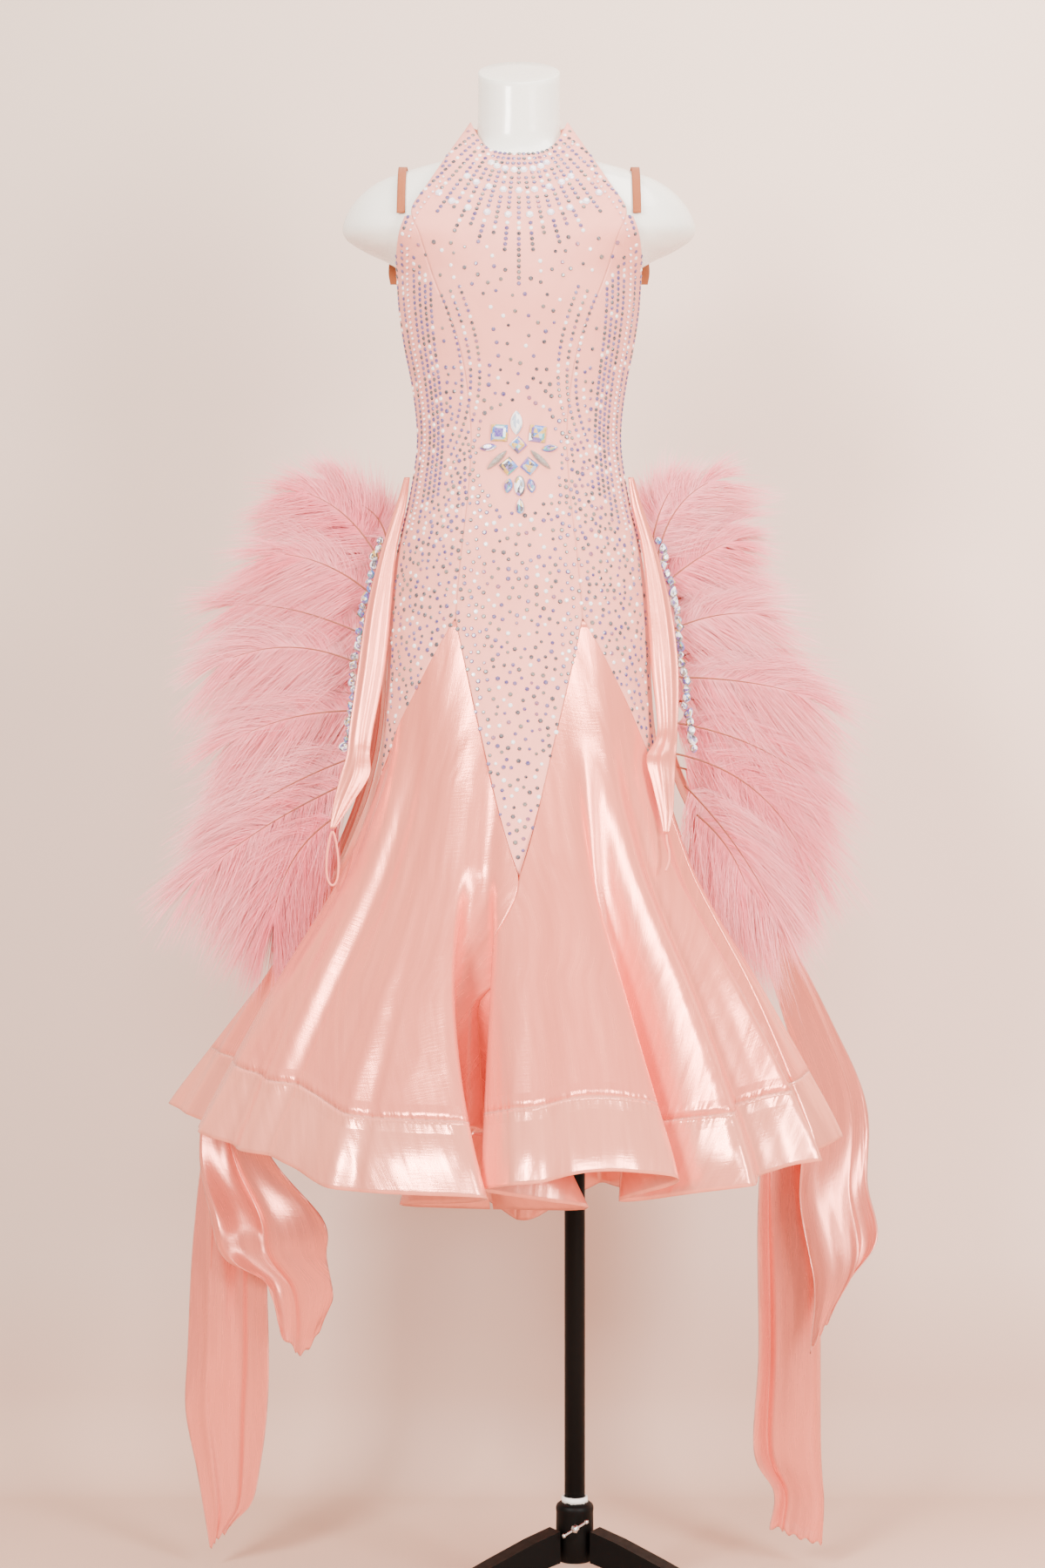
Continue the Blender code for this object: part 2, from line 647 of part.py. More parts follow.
def make_clamp_screw():
    """A tommy-bar screw: shank, collar and a bar with a ball at each end."""
    tip = POLE_RADIUS + 0.0008
    shank_end = 0.0340
    screw = mesh_object(
        "clamp_screw",
        lambda mesh: bmesh.ops.create_cone(
            mesh, cap_ends=True, segments=16, radius1=SCREW_RADIUS, radius2=SCREW_RADIUS,
            depth=shank_end - tip, matrix=Matrix.Rotation(pi / 2, 4, "X"),
        ),
    )
    screw.location = (POLE_X, -(shank_end + tip) / 2, SCREW_HEIGHT)
    finish(screw, "screw_steel")
    middle = shank_end - 0.0030

    def collar(mesh):
        bmesh.ops.create_uvsphere(mesh, u_segments=12, v_segments=8, radius=0.0048)

    def bar(mesh):
        bmesh.ops.create_cone(
            mesh, cap_ends=True, segments=10, radius1=0.0015, radius2=0.0015, depth=0.030,
        )

    def ball(mesh):
        bmesh.ops.create_uvsphere(mesh, u_segments=10, v_segments=6, radius=0.0027)

    lean = Matrix.Rotation(radians(58), 4, "Y")
    centre = Matrix.Translation((POLE_X, -middle, SCREW_HEIGHT)) @ lean
    pieces = {"screw_collar": (collar, 0.0), "screw_bar": (bar, 0.0)}
    pieces["screw_ball_low"] = (ball, -0.0150)
    pieces["screw_ball_high"] = (ball, 0.0150)
    for name, (make, along) in pieces.items():
        piece = mesh_object(name, make)
        piece.matrix_world = centre @ Matrix.Translation((0, 0, along))
        boolean(screw, piece, "UNION")


def make_leg(name, angle):
    """An arched leg cut from its side outline, from the hub out to a flat foot."""
    start = sqrt(HUB_RADIUS**2 + (LEG_WIDTH / 2) ** 2) + 0.0018
    outline = [
        (start, 0.098), (0.060, 0.089), (0.110, 0.072), (0.170, 0.050), (0.225, 0.029),
        (0.262, 0.016), (0.281, 0.010), (0.286, 0.0), (0.248, 0.0), (0.200, 0.012),
        (0.140, 0.031), (0.090, 0.046), (0.055, 0.056), (start, 0.062),
    ]
    curve = bpy.data.curves.new(name, "CURVE")
    curve.dimensions = "2D"
    curve.fill_mode = "BOTH"
    curve.extrude = LEG_WIDTH / 2
    spline = curve.splines.new("POLY")
    spline.points.add(len(outline) - 1)
    for point, (reach, height) in zip(spline.points, outline):
        point.co = (reach, height, 0, 1)
    spline.use_cyclic_u = True
    leg = new_object(name, curve)
    upright = Matrix.Rotation(radians(angle), 4, "Z") @ Matrix.Rotation(pi / 2, 4, "X")
    leg.matrix_world = Matrix.Translation((POLE_X, 0, 0)) @ upright
    finish(leg, "black_steel")


# ---------------------------------------------------------------- the bodice
def spread(low, high, count):
    return [low + (high - low) * n / count for n in range(count + 1)]


def trimmed(low, high, radius):
    """Two seam angles, each brought in by the seam gap at this radius."""
    gap = degrees(SEAM / radius)
    return low + gap, high - gap


BODY_HEIGHTS = spread(CHEST, HIP, 10)
GODET_SHARES = [0.012] + spread(0.125, 0.9985, 7)


def seam_angle(height, seam):
    return column_at(SEAM_ROWS, height, seam)


def body_row(height, low, high, columns):
    low, high = trimmed(low, high, BODY_RADIUS)
    return [ring_point(angle, height) for angle in spread(low, high, columns)]


def godet_edge(apex, point, share):
    """A godet's edge angle this share of the way from the hip to its hem band."""
    angle = apex
    for _ in range(4):
        down = share * band_top(angle)
        angle = apex + (point.angle - apex) * min(down / point.reach, 1)
    return angle


def point_rows(low, high, point, columns):
    """Rows of a body panel below the hip, which close on its point between two godets."""
    tip = point.reach / band_top(point.angle)
    shares = [share for share in GODET_SHARES if share < tip - TIP_START]
    rows = []
    for share in shares + [tip - TIP_GAP]:
        left, right = godet_edge(low, point, share), godet_edge(high, point, share)
        middle, half = (left + right) / 2, (right - left) / 2
        half = max(abs(half), TIP_HALF) * (1 if high > low else -1)
        half -= degrees(SEAM / SKIRT_RADIUS) * (1 if high > low else -1)
        angles = spread(middle - half, middle + half, columns)
        rows.append([skirt_point(angle, share * band_top(angle)) for angle in angles])
    return rows


def make_front():
    """The front panel, in one from the halter neck to its point; returns its surface."""
    columns = 10
    rows = []
    for row in range(len(CHEST_ROWS)):
        chest = CHEST_ROWS[row]
        edge = degrees(asin(min(chest.seam / chest.half_width, 1))) / 90
        edge -= degrees(SEAM / BODY_RADIUS) / 90
        rows.append([chest_point(across, row) for across in spread(-edge, edge, columns)])
    for height in BODY_HEIGHTS[1:]:
        seam = seam_angle(height, "princess")
        rows.append(body_row(height, -seam, seam, columns))
    seam = seam_angle(HIP, "princess")
    rows += point_rows(-seam, seam, POINTS["front"], columns)
    cloth_piece("front_panel", rows, "jersey")
    return surface_of(rows)


def mirrored(rows):
    """The rows of the piece on the other side, still running from left to right."""
    return [[Vector((-p.x, p.y, p.z)) for p in reversed(row)] for row in rows]


def point_panel(name, upper, low, high, point, columns, side):
    """A body panel: its rows above the hip on the right, taken to this side, then its point."""
    rows = upper if side > 0 else mirrored(upper)
    lower = point_rows(side * low, side * high, point._replace(angle=side * point.angle), columns)
    if side < 0:
        lower = [list(reversed(row)) for row in lower]
    cloth_piece(name, rows + lower, "jersey")


def make_sides():
    """Front side and back side panels, left and right, and the back panel."""
    columns = 6
    front_side = []
    for row in range(SEAM_ROW, len(CHEST_ROWS)):
        chest = CHEST_ROWS[row]
        seam = degrees(asin(chest.seam / chest.half_width))
        low, high = trimmed(seam, 90, BODY_RADIUS)
        front_side.append([chest_point(a / 90, row) for a in spread(low, high, columns)])
    for height in BODY_HEIGHTS[1:]:
        low, high = seam_angle(height, "princess"), seam_angle(height, "side")
        front_side.append(body_row(height, low, high, columns))

    def back_row(share, low, high, count):
        """A row from the open back's edge, at share 0, down to the hip, at share 1."""
        points = []
        for angle in spread(low, high, count):
            turn = 180 - abs(180 - abs(angle))
            top = CHEST + (LOW_BACK - CHEST) * smooth_step((turn - 90) / 90)
            points.append(ring_point(angle, top + (HIP - top) * share))
        return points

    back_side, back = [], []
    for share in spread(0, 1, 8):
        height = CHEST + (HIP - CHEST) * share
        side, seam = seam_angle(height, "side"), seam_angle(height, "back")
        back_side.append(back_row(share, *trimmed(side, seam, BODY_RADIUS), columns))
        back.append(back_row(share, *trimmed(seam, 360 - seam, BODY_RADIUS), columns + 2))

    princess, side, seam = (seam_angle(HIP, name) for name in ("princess", "side", "back"))
    for hand, sign in (("right", 1), ("left", -1)):
        point = POINTS["front_side"]
        point_panel("front_side_" + hand, front_side, princess, side, point, columns, sign)
        point = POINTS["back_side"]
        point_panel("back_side_" + hand, back_side, side, seam, point, columns, sign)
    point_panel("back_panel", back, seam, 360 - seam, POINTS["back"], columns + 2, 1)


def make_neck_band():
    """Two halves of the halter's band, which meet at the nape under a flat hook."""
    half_width, depth, low, high = 0.0575, 0.0585, 1.6900, 1.7080
    rows = []
    for height in spread(high, low, 2):
        row = []
        for angle in spread(97, 179.5, 9):
            a = radians(angle)
            grow = (high - height) * 0.12
            row.append(Vector(((half_width + grow) * sin(a), -(depth + grow) * cos(a), height)))
        rows.append(row)
    cloth_piece("neck_band_right", rows, "jersey")
    cloth_piece("neck_band_left", mirrored(rows), "jersey")

    def hook(mesh):
        bmesh.ops.create_cube(mesh, size=1.0)
        for vert in mesh.verts:
            vert.co = Vector((vert.co.x * 0.014, vert.co.y * 0.0012, vert.co.z * 0.010))

    clasp = mesh_object("nape_hook", hook)
    clasp.location = (0, depth + 0.0024, (low + high) / 2)
    bevel = clasp.modifiers.new("edge", "BEVEL")
    bevel.width = 0.0004
    bevel.segments = 1
    finish(clasp, "screw_steel")


def form_depth(x, height, side):
    """How far the form reaches to the front or back at this x and height."""
    half_width = column_at(FORM_RINGS, height, "half_width")
    return column_at(FORM_RINGS, height, side) * sqrt(max(1 - (x / half_width) ** 2, 0))


def make_straps():
    """Elastic straps from the front corners, over the shoulders, to the back's top edge."""
    width, clear = 0.0095, 0.0036
    path = []
    for height in (1.590, 1.606, 1.622, 1.636):
        path.append(Vector((STRAP_X, -form_depth(STRAP_X, height, "front") - clear, height)))
    path += [Vector((STRAP_X, y, z)) for y, z in ((-0.026, 1.6510), (0.0, 1.6550), (0.030, 1.6510))]
    for height in (1.636, 1.620, 1.600, 1.580):
        x = STRAP_X + 0.012 * smooth_step((1.640 - height) / 0.06)
        path.append(Vector((x, form_depth(x, height, "back") + clear, height)))
    path += [Vector((0.1470, 0.0620, 1.562)), Vector((0.1475, 0.0500, 1.546))]
    path.append(Vector((0.1450, 0.0400, 1.531)))
    rows = [[p + Vector((width / 2, 0, 0)), p - Vector((width / 2, 0, 0))] for p in reversed(path)]
    cloth_piece("strap_right", rows, "strap", 0.0010)
    cloth_piece("strap_left", mirrored(rows), "strap", 0.0010)


# ---------------------------------------------------------------- the skirt
GODETS = {
    "godet_front_right": (28.5, "front", "front_side"),
    "godet_side_right": (100.0, "front_side", "back_side"),
    "godet_back_right": (152.0, "back_side", "back"),
}


def front_lean(share):
    """How far the seam between the front godets has turned, this share of the way down."""
    down = share * band_top(0)
    return FRONT_LEAN * smooth_step((down - POINTS["front"].reach) / LEAN_RUN)


def godet_edges(apex, low, high, share, side):
    """The godet's two edge angles, in order: apart at the points, together at its own apex."""
    left, right = godet_edge(apex, low, share), godet_edge(apex, high, share)
    left, right = trimmed(left, right, SKIRT_RADIUS + SKIRT_FLARE * share)
    if low.angle == 0:
        left += side * front_lean(share)
    return sorted((side * left, side * right))


def godet_columns(low, high):
    """Shares across a godet: even ones, and one for each turn of the folds in it."""
    turns = []
    for fold in FOLDS:
        for row in FOLD_SECTIONS[fold.kind]:
            share = (fold.angle + fold.hand * row.along * fold.half_width - low) / (high - low)
            if 0.02 < share < 0.98:
                turns.append(share)
    even = [s for s in spread(0, 1, 9) if all(abs(s - t) > 0.05 for t in turns) or s in (0, 1)]
    merged = []
    for share in sorted(turns + even):
        if not merged or share - merged[-1] > 0.012:
            merged.append(share)
    return merged


def make_skirt():
    for name, (apex, low_name, high_name) in GODETS.items():
        low, high = POINTS[low_name], POINTS[high_name]
        for side in (1, -1):
            rows, band = [], []
            columns = godet_columns(*godet_edges(apex, low, high, 1.0, side))

            def across(share, side=side, columns=columns):
                left, right = godet_edges(apex, low, high, share, side)
                return [left + (right - left) * n for n in columns]

            for share in GODET_SHARES:
                rows.append([skirt_point(a, share * band_top(a)) for a in across(share)])
            angles = across(1.0)
            for share in (0.006, 0.5, 1.0):
                tops = [band_top(a) for a in angles]
                band.append([skirt_point(a, t + (1 - t) * share) for a, t in zip(angles, tops)])
            called = name if side > 0 else name.replace("right", "left")
            cloth_piece(called, rows)
            cloth_piece(called.replace("godet", "hem_band"), band)


# ---------------------------------------------------------------- trims
def make_hip_bands():
    """Bands that cross in front of each fan, gently rounded towards the front."""
    for name, table in (("hip_band_right", RIGHT_BAND_ROWS), ("hip_band_left", LEFT_BAND_ROWS)):
        rows = []
        for row in table:
            width = row.outer - row.inner
            points = []
            for share in spread(0, 1, 4):
                bulge = 0.16 * width * sin(pi * share)
                points.append(Vector((row.inner + width * share, -row.front - bulge, row.height)))
            rows.append(points)
        cloth_piece(name, rows if name.endswith("right") else mirrored(rows))


def make_ties():
    """Narrow ties at the bands' lower ends: a closed finger loop and a loose end."""
    radius = 0.0013
    start = Vector((-0.2090, -0.0765, 0.8975))
    loop = []
    for n in range(24):
        a = 2 * pi * n / 24
        pinch = 1 - 0.35 * cos(a)
        loop.append(start + Vector((0.0065 * sin(a) * pinch, 0, -0.0310 + 0.0300 * cos(a))))
    loose = [
        Vector((0.1640, -0.1030, 0.8935)), Vector((0.1645, -0.1070, 0.8850)),
        Vector((0.1665, -0.1120, 0.8750)), Vector((0.1660, -0.1180, 0.8640)),
        Vector((0.1620, -0.1240, 0.8540)),
    ]
    for name, points, closed in (("finger_loop", loop, True), ("tie_end", loose, False)):
        curve = bpy.data.curves.new(name, "CURVE")
        curve.dimensions = "3D"
        curve.bevel_depth = radius
        curve.bevel_resolution = 1
        curve.use_fill_caps = not closed
        spline = curve.splines.new("POLY")
        spline.points.add(len(points) - 1)
        for slot, point in zip(spline.points, points):
            slot.co = (*point, 1)
        spline.use_cyclic_u = closed
        finish(new_object(name, curve), "satin")


def make_fans():
    """Each feather fan as the plain solid of its reach."""
    for name, table, side in (
        ("feather_fan_right", RIGHT_FAN_ROWS, 1),
        ("feather_fan_left", LEFT_FAN_ROWS, -1),
    ):
        sections = []
        for row in table:
            root = Vector((row.root_x, FAN_DEPTH, row.root_z))
            tip = Vector((row.tip_x, FAN_DEPTH + FAN_SWEEP, row.tip_z))
            section = []
            for share, half in ((0, 0.004), (0.3, 0.9), (0.75, 1.0), (1, 0.35)):
                point = root.lerp(tip, share)
                section.append(point + Vector((0, -FAN_HALF * half, 0)))
            for share, half in ((1, 0.35), (0.75, 1.0), (0.3, 0.9), (0, 0.5)):
                point = root.lerp(tip, share)
                section.append(point + Vector((0, FAN_HALF * half, 0)))
            sections.append([Vector((side * p.x, p.y, p.z)) for p in section])
        loft(name, sections, "feather")


def make_crystal_edges():
    """The chains of set stones along the fans' roots, as plain bars of their reach."""
    for name, side in (("crystal_edge_right", 1), ("crystal_edge_left", -1)):
        curve = bpy.data.curves.new(name, "CURVE")
        curve.dimensions = "3D"
        curve.bevel_depth = CHAIN_RADIUS
        curve.bevel_resolution = 1
        curve.use_fill_caps = True
        spline = curve.splines.new("POLY")
        spline.points.add(len(CHAIN_ROWS) - 1)
        for slot, row in zip(spline.points, CHAIN_ROWS):
            slot.co = (side * row.x, CHAIN_DEPTH, row.height, 1)
        finish(new_object(name, curve), "crystal")


def make_floats():
    """Pleated scarves: each level runs across its width in shallow zigzag pleats."""
    pleats = 3
    for name, table in FLOATS.items():
        rows = []
        for level in table:
            a = radians(level.turn)
            width, depth = Vector((cos(a), sin(a), 0)), Vector((-sin(a), cos(a), 0))
            middle = Vector((level.x, level.y, level.height))
            row = []
            for n, share in enumerate(spread(-0.5, 0.5, 2 * pleats)):
                swing = level.pleat * (0.5 if n % 2 else -0.5)
                row.append(middle + width * level.width * share + depth * swing)
            rows.append(row)
        cloth_piece(name, rows)


def make_stones(surface):
    """The waist ornament's sewn stones, each a low faceted dome on the front panel."""
    for stone in STONES:

        def facets(mesh, stone=stone):
            bottom, top = [], []
            count = 2 * stone.sides if stone.sides < 6 else stone.sides
            for n in range(count):
                a = 2 * pi * n / count + pi / 2
                reach = 1.0 if stone.sides >= 6 or n % 2 == 0 else 0.76
                x = stone.half_width * reach * cos(a)
                z = stone.half_height * reach * sin(a)
                bottom.append(mesh.verts.new((x, 0, z)))
                top.append(mesh.verts.new((x * 0.52, -STONE_HEIGHT, z * 0.52)))
            for n in range(count):
                m = (n + 1) % count
                mesh.faces.new((bottom[n], bottom[m], top[m], top[n]))
            mesh.faces.new(top)
            mesh.faces.new(list(reversed(bottom)))
            bmesh.ops.recalc_face_normals(mesh, faces=mesh.faces)

        obj = mesh_object(stone.name, facets)
        spot = front_point(stone.x, stone.z)
        above, below = front_point(stone.x, stone.z + 0.01), front_point(stone.x, stone.z - 0.01)
        beside = front_point(stone.x + 0.01, stone.z) - front_point(stone.x - 0.01, stone.z)
        yaw = atan2(beside.y, beside.x)
        lean = atan2(-(above.y - below.y), 0.02)
        turn = (
            Matrix.Rotation(yaw, 4, "Z")
            @ Matrix.Rotation(lean, 4, "X")
            @ Matrix.Rotation(radians(stone.turn), 4, "Y")
        )
        forward = 0.0
        for across in spread(-1, 1, 8):
            for up in spread(-1, 1, 8):
                flat = Vector((stone.half_width * across, 0, stone.half_height * up))
                corner = spot + turn @ flat
                hit = surface.ray_cast(Vector((corner.x, -1, corner.z)), Vector((0, 1, 0)))[0]
                if hit is not None and across**2 + up**2 <= 1.2:
                    forward = max(forward, corner.y - hit.y)
        obj.matrix_world = Matrix.Translation(spot + Vector((0, -forward - SEAM, 0))) @ turn
        finish(obj, "crystal")


# ---------------------------------------------------------------- the whole part
def collection(name):
    made = bpy.data.collections.new(name)
    bpy.context.scene.collection.children.link(made)
    return made


for old in list(bpy.data.objects):
    bpy.data.objects.remove(old, do_unlink=True)
PARTS = collection("ballroom_dance_dress")
CUTTERS = collection("cutters")

make_form()
make_stand()
front = make_front()
make_sides()
make_neck_band()
make_straps()
make_skirt()
make_hip_bands()
make_ties()
make_fans()
make_crystal_edges()
make_floats()
make_stones(front)
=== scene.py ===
"""The looks of a ballroom dance dress with feather fans and crystals, on a dress form stand.

Metres, +Z up, +X to the right and +Y to the back. Angles round the garment run from the
centre front in degrees, and are positive to the right. Grids of cloth run from left to right
as seen from outside, and from top to bottom.
"""

from collections import namedtuple
from math import cos, pi, radians, sin, sqrt

import bmesh
import bpy
import numpy as np
from bpy.props import FloatProperty, FloatVectorProperty, IntProperty, PointerProperty
from mathutils import Matrix, Vector
from mathutils.bvhtree import BVHTree


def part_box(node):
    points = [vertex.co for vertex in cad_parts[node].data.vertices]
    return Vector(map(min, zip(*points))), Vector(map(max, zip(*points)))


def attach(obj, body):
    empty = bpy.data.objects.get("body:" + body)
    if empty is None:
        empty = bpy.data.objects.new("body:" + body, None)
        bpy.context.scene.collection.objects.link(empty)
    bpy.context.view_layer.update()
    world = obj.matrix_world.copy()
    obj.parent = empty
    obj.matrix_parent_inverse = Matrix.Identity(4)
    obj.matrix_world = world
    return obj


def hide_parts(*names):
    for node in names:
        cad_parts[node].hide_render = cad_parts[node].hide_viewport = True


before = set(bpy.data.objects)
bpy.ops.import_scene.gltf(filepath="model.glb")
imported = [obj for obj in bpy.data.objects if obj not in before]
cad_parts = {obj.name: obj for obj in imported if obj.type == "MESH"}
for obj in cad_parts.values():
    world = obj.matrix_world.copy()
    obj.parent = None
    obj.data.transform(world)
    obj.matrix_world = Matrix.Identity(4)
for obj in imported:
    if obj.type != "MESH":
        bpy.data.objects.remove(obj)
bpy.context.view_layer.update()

bl_info = {
    "name": "Ballroom Dance Dress",
    "version": (1, 0, 0),
    "blender": (4, 5, 0),
    "location": "3D View > Sidebar > Dress",
    "description": "Makes the cloth, feathers, stones and stand of a ballroom dance dress",
    "category": "Object",
}


def rows_of(kind, *rows):
    """A table: each row has this kind's named columns."""
    return [kind(*row) for row in rows]


# ------------------------------------------------------------ the cut, as the frame has it
CHEST, HIP, LOW_BACK, BAND = 1.525, 1.135, 1.430, 0.080
INFOLD_DROP = 0.26
SEAM = 0.00012
BODY_RADIUS = 0.12  # about how far a bodice seam is from the middle
SKIRT_RADIUS, SKIRT_FLARE = 0.16, 0.15  # the same at the hip, and what it gains to the hem
FRONT_LEAN, LEAN_RUN = -13.0, 0.20
POLE_X = sum(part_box("pole")[n].x for n in (0, 1)) / 2

Ring = namedtuple("Ring", "height half_width front back")
DRESS_RINGS = rows_of(
    Ring,
    (1.525, 0.1405, 0.117, 0.100), (1.490, 0.1380, 0.113, 0.097), (1.450, 0.1320, 0.102, 0.091),
    (1.410, 0.1240, 0.092, 0.087), (1.370, 0.1185, 0.086, 0.085), (1.335, 0.1175, 0.085, 0.087),
    (1.280, 0.1255, 0.092, 0.098), (1.210, 0.1410, 0.101, 0.117), (1.135, 0.1490, 0.105, 0.124),
    (1.050, 0.1530, 0.119, 0.142), (0.970, 0.1610, 0.142, 0.166), (0.900, 0.1850, 0.166, 0.192),
    (0.840, 0.2120, 0.190, 0.213), (0.720, 0.2870, 0.248, 0.262), (0.620, 0.3430, 0.298, 0.300),
    (0.550, 0.3780, 0.335, 0.327), (0.400, 0.4250, 0.365, 0.365),
)
ChestRow = namedtuple("ChestRow", "height lift half_width front edge_front seam")
CHEST_ROWS = rows_of(
    ChestRow,
    (1.660, 0.050, 0.0560, 0.0630, -0.004, 0.0560), (1.651, 0.035, 0.0680, 0.0690, 0.024, 0.0680),
    (1.639, 0.016, 0.0850, 0.0760, 0.052, 0.0850), (1.620, 0.000, 0.1050, 0.0870, 0.075, 0.1050),
    (1.600, 0.000, 0.1190, 0.0975, 0.079, 0.1180), (1.585, 0.000, 0.1280, 0.1040, 0.082, 0.1200),
    (1.565, 0.000, 0.1350, 0.1110, 0.078, 0.1120), (1.545, 0.000, 0.1395, 0.1155, 0.040, 0.1055),
    (CHEST, 0.000, 0.1405, 0.1170, 0.000, 0.0990),
)
SEAM_ROW = 5
SeamRow = namedtuple("SeamRow", "height princess side back")
SEAM_ROWS = [
    SeamRow(1.525, np.degrees(np.arcsin(0.0990 / 0.1405)), 90.0, 150.0),
    SeamRow(1.450, 32.0, 91.0, 151.0),
    SeamRow(1.370, 28.0, 94.0, 152.0),
    SeamRow(1.250, 27.0, 98.0, 152.0),
    SeamRow(1.135, 28.5, 100.0, 152.0),
]
HemRow = namedtuple("HemRow", "angle height")
HEM_ROWS = rows_of(
    HemRow,
    (-180, 0.428), (-150, 0.462), (-112, 0.548), (-80, 0.566), (-45, 0.550), (-25, 0.526), (0, 0.540),
    (15, 0.549), (32, 0.528), (60, 0.543), (90, 0.552), (112, 0.540), (150, 0.462), (180, 0.428),
)
Section = namedtuple("Section", "along across inward")
FOLD_SECTIONS = {
    "soft": rows_of(
        Section,
        (-1.00, -1.00, 0.00), (-0.50, -0.50, 0.50), (0.00, 0.00, 1.00), (0.50, 0.50, 0.50),
        (1.00, 1.00, 0.00),
    ),
    "knife": rows_of(
        Section,
        (-1.00, -1.00, 0.00), (-0.60, -0.42, 0.02), (-0.30, 0.14, 0.12), (-0.10, 0.20, 0.32),
        (0.10, -0.06, 0.70), (0.32, -0.20, 1.00), (0.58, 0.12, 0.86), (0.80, 0.54, 0.34),
        (1.00, 1.00, 0.00),
    ),
    "box": rows_of(
        Section,
        (-1.00, -1.00, 0.00), (-0.70, -0.20, 0.00), (-0.50, 0.64, 0.06), (-0.36, 0.20, 0.42),
        (-0.22, -0.85, 0.74), (-0.10, -0.75, 0.97), (0.10, 1.25, 0.97), (0.22, 1.65, 0.78),
        (0.36, 1.05, 0.52), (0.50, 0.50, 0.22), (0.70, 0.72, 0.09), (1.00, 1.00, 0.00),
    ),
}
Fold = namedtuple("Fold", "kind angle half_width depth start hand")
FOLDS = rows_of(
    Fold,
    ("box", -13, 12, 0.165, 0.46, 1), ("knife", 25, 12, 0.095, 0.22, 1), ("soft", -36, 11, 0.022, 0.15, 1),
    ("soft", 48, 10, 0.022, 0.25, 1), ("soft", -58, 11, 0.020, 0.30, 1), ("soft", 70, 12, 0.055, 0.25, 1),
    ("knife", -87, 11, 0.080, 0.32, -1), ("soft", -107, 11, -0.064, 0.40, 1),
    ("soft", -124, 10, 0.070, 0.37, 1), ("soft", 97, 12, 0.050, 0.30, 1),
    ("soft", 124, 12, 0.065, 0.37, 1), ("soft", -152, 13, 0.060, 0.30, 1),
    ("soft", 152, 13, 0.065, 0.30, 1), ("soft", 178, 12, 0.085, 0.35, 1),
)
# Fine ripples of the satin: how many go round the skirt, how high, and how they drift.
Ripple = namedtuple("Ripple", "count height phase twist start")
RIPPLES = rows_of(
    Ripple,
    (11, 0.0085, 0.4, 0.3, 0.02), (19, 0.0058, 2.1, -0.4, 0.06), (31, 0.0026, 4.0, 0.8, 0.12),
    (53, 0.0009, 1.2, -1.0, 0.30),
)
Point = namedtuple("Point", "angle reach")
POINTS = {
    "front": Point(0.0, 0.480),
    "front_side": Point(74.0, 0.300),
    "back_side": Point(127.0, 0.340),
    "back": Point(180.0, 0.430),
}
Godet = namedtuple("Godet", "apex low high")
GODETS = {
    "front": Godet(28.5, "front", "front_side"),
    "side": Godet(100.0, "front_side", "back_side"),
    "back": Godet(152.0, "back_side", "back"),
}
BandRow = namedtuple("BandRow", "height inner outer front")
RIGHT_BAND_ROWS = rows_of(
    BandRow,
    (1.300, 0.1245, 0.1310, 0.018), (1.268, 0.1285, 0.1400, 0.024), (1.215, 0.1400, 0.1570, 0.030),
    (1.150, 0.1455, 0.1730, 0.034), (1.080, 0.1500, 0.1810, 0.040), (1.010, 0.1560, 0.1790, 0.056),
    (0.980, 0.1430, 0.1760, 0.074), (0.950, 0.1490, 0.1740, 0.084), (0.920, 0.1560, 0.1720, 0.094),
    (0.896, 0.1610, 0.1670, 0.102),
)
LEFT_BAND_ROWS = rows_of(
    BandRow,
    (1.300, 0.1245, 0.1310, 0.018), (1.268, 0.1285, 0.1400, 0.024), (1.215, 0.1390, 0.1570, 0.030),
    (1.150, 0.1450, 0.1730, 0.034), (1.080, 0.1520, 0.1830, 0.040), (1.010, 0.1650, 0.1920, 0.050),
    (0.985, 0.1680, 0.1940, 0.056), (0.960, 0.1680, 0.2010, 0.062), (0.930, 0.1860, 0.2080, 0.070),
    (0.900, 0.2060, 0.2120, 0.078),
)
FanRow = namedtuple("FanRow", "root_x root_z tip_x tip_z")
FAN_ROWS = {
    1: rows_of(
        FanRow,
        (0.1500, 1.232, 0.160, 1.300), (0.1560, 1.205, 0.222, 1.326), (0.1610, 1.170, 0.272, 1.240),
        (0.1650, 1.120, 0.302, 1.160), (0.1680, 1.075, 0.350, 1.068), (0.1720, 1.030, 0.356, 0.975),
        (0.1780, 0.990, 0.356, 0.885), (0.1870, 0.955, 0.322, 0.795), (0.2030, 0.915, 0.268, 0.822),
    ),
    -1: rows_of(
        FanRow,
        (0.1500, 1.232, 0.172, 1.268), (0.1560, 1.205, 0.262, 1.326), (0.1610, 1.170, 0.292, 1.250),
        (0.1650, 1.120, 0.340, 1.180), (0.1680, 1.075, 0.366, 1.100), (0.1720, 1.030, 0.358, 0.990),
        (0.1780, 0.990, 0.352, 0.910), (0.1870, 0.955, 0.390, 0.840), (0.2060, 0.915, 0.300, 0.778),
    ),
}
FAN_DEPTH, FAN_SWEEP = 0.006, 0.035

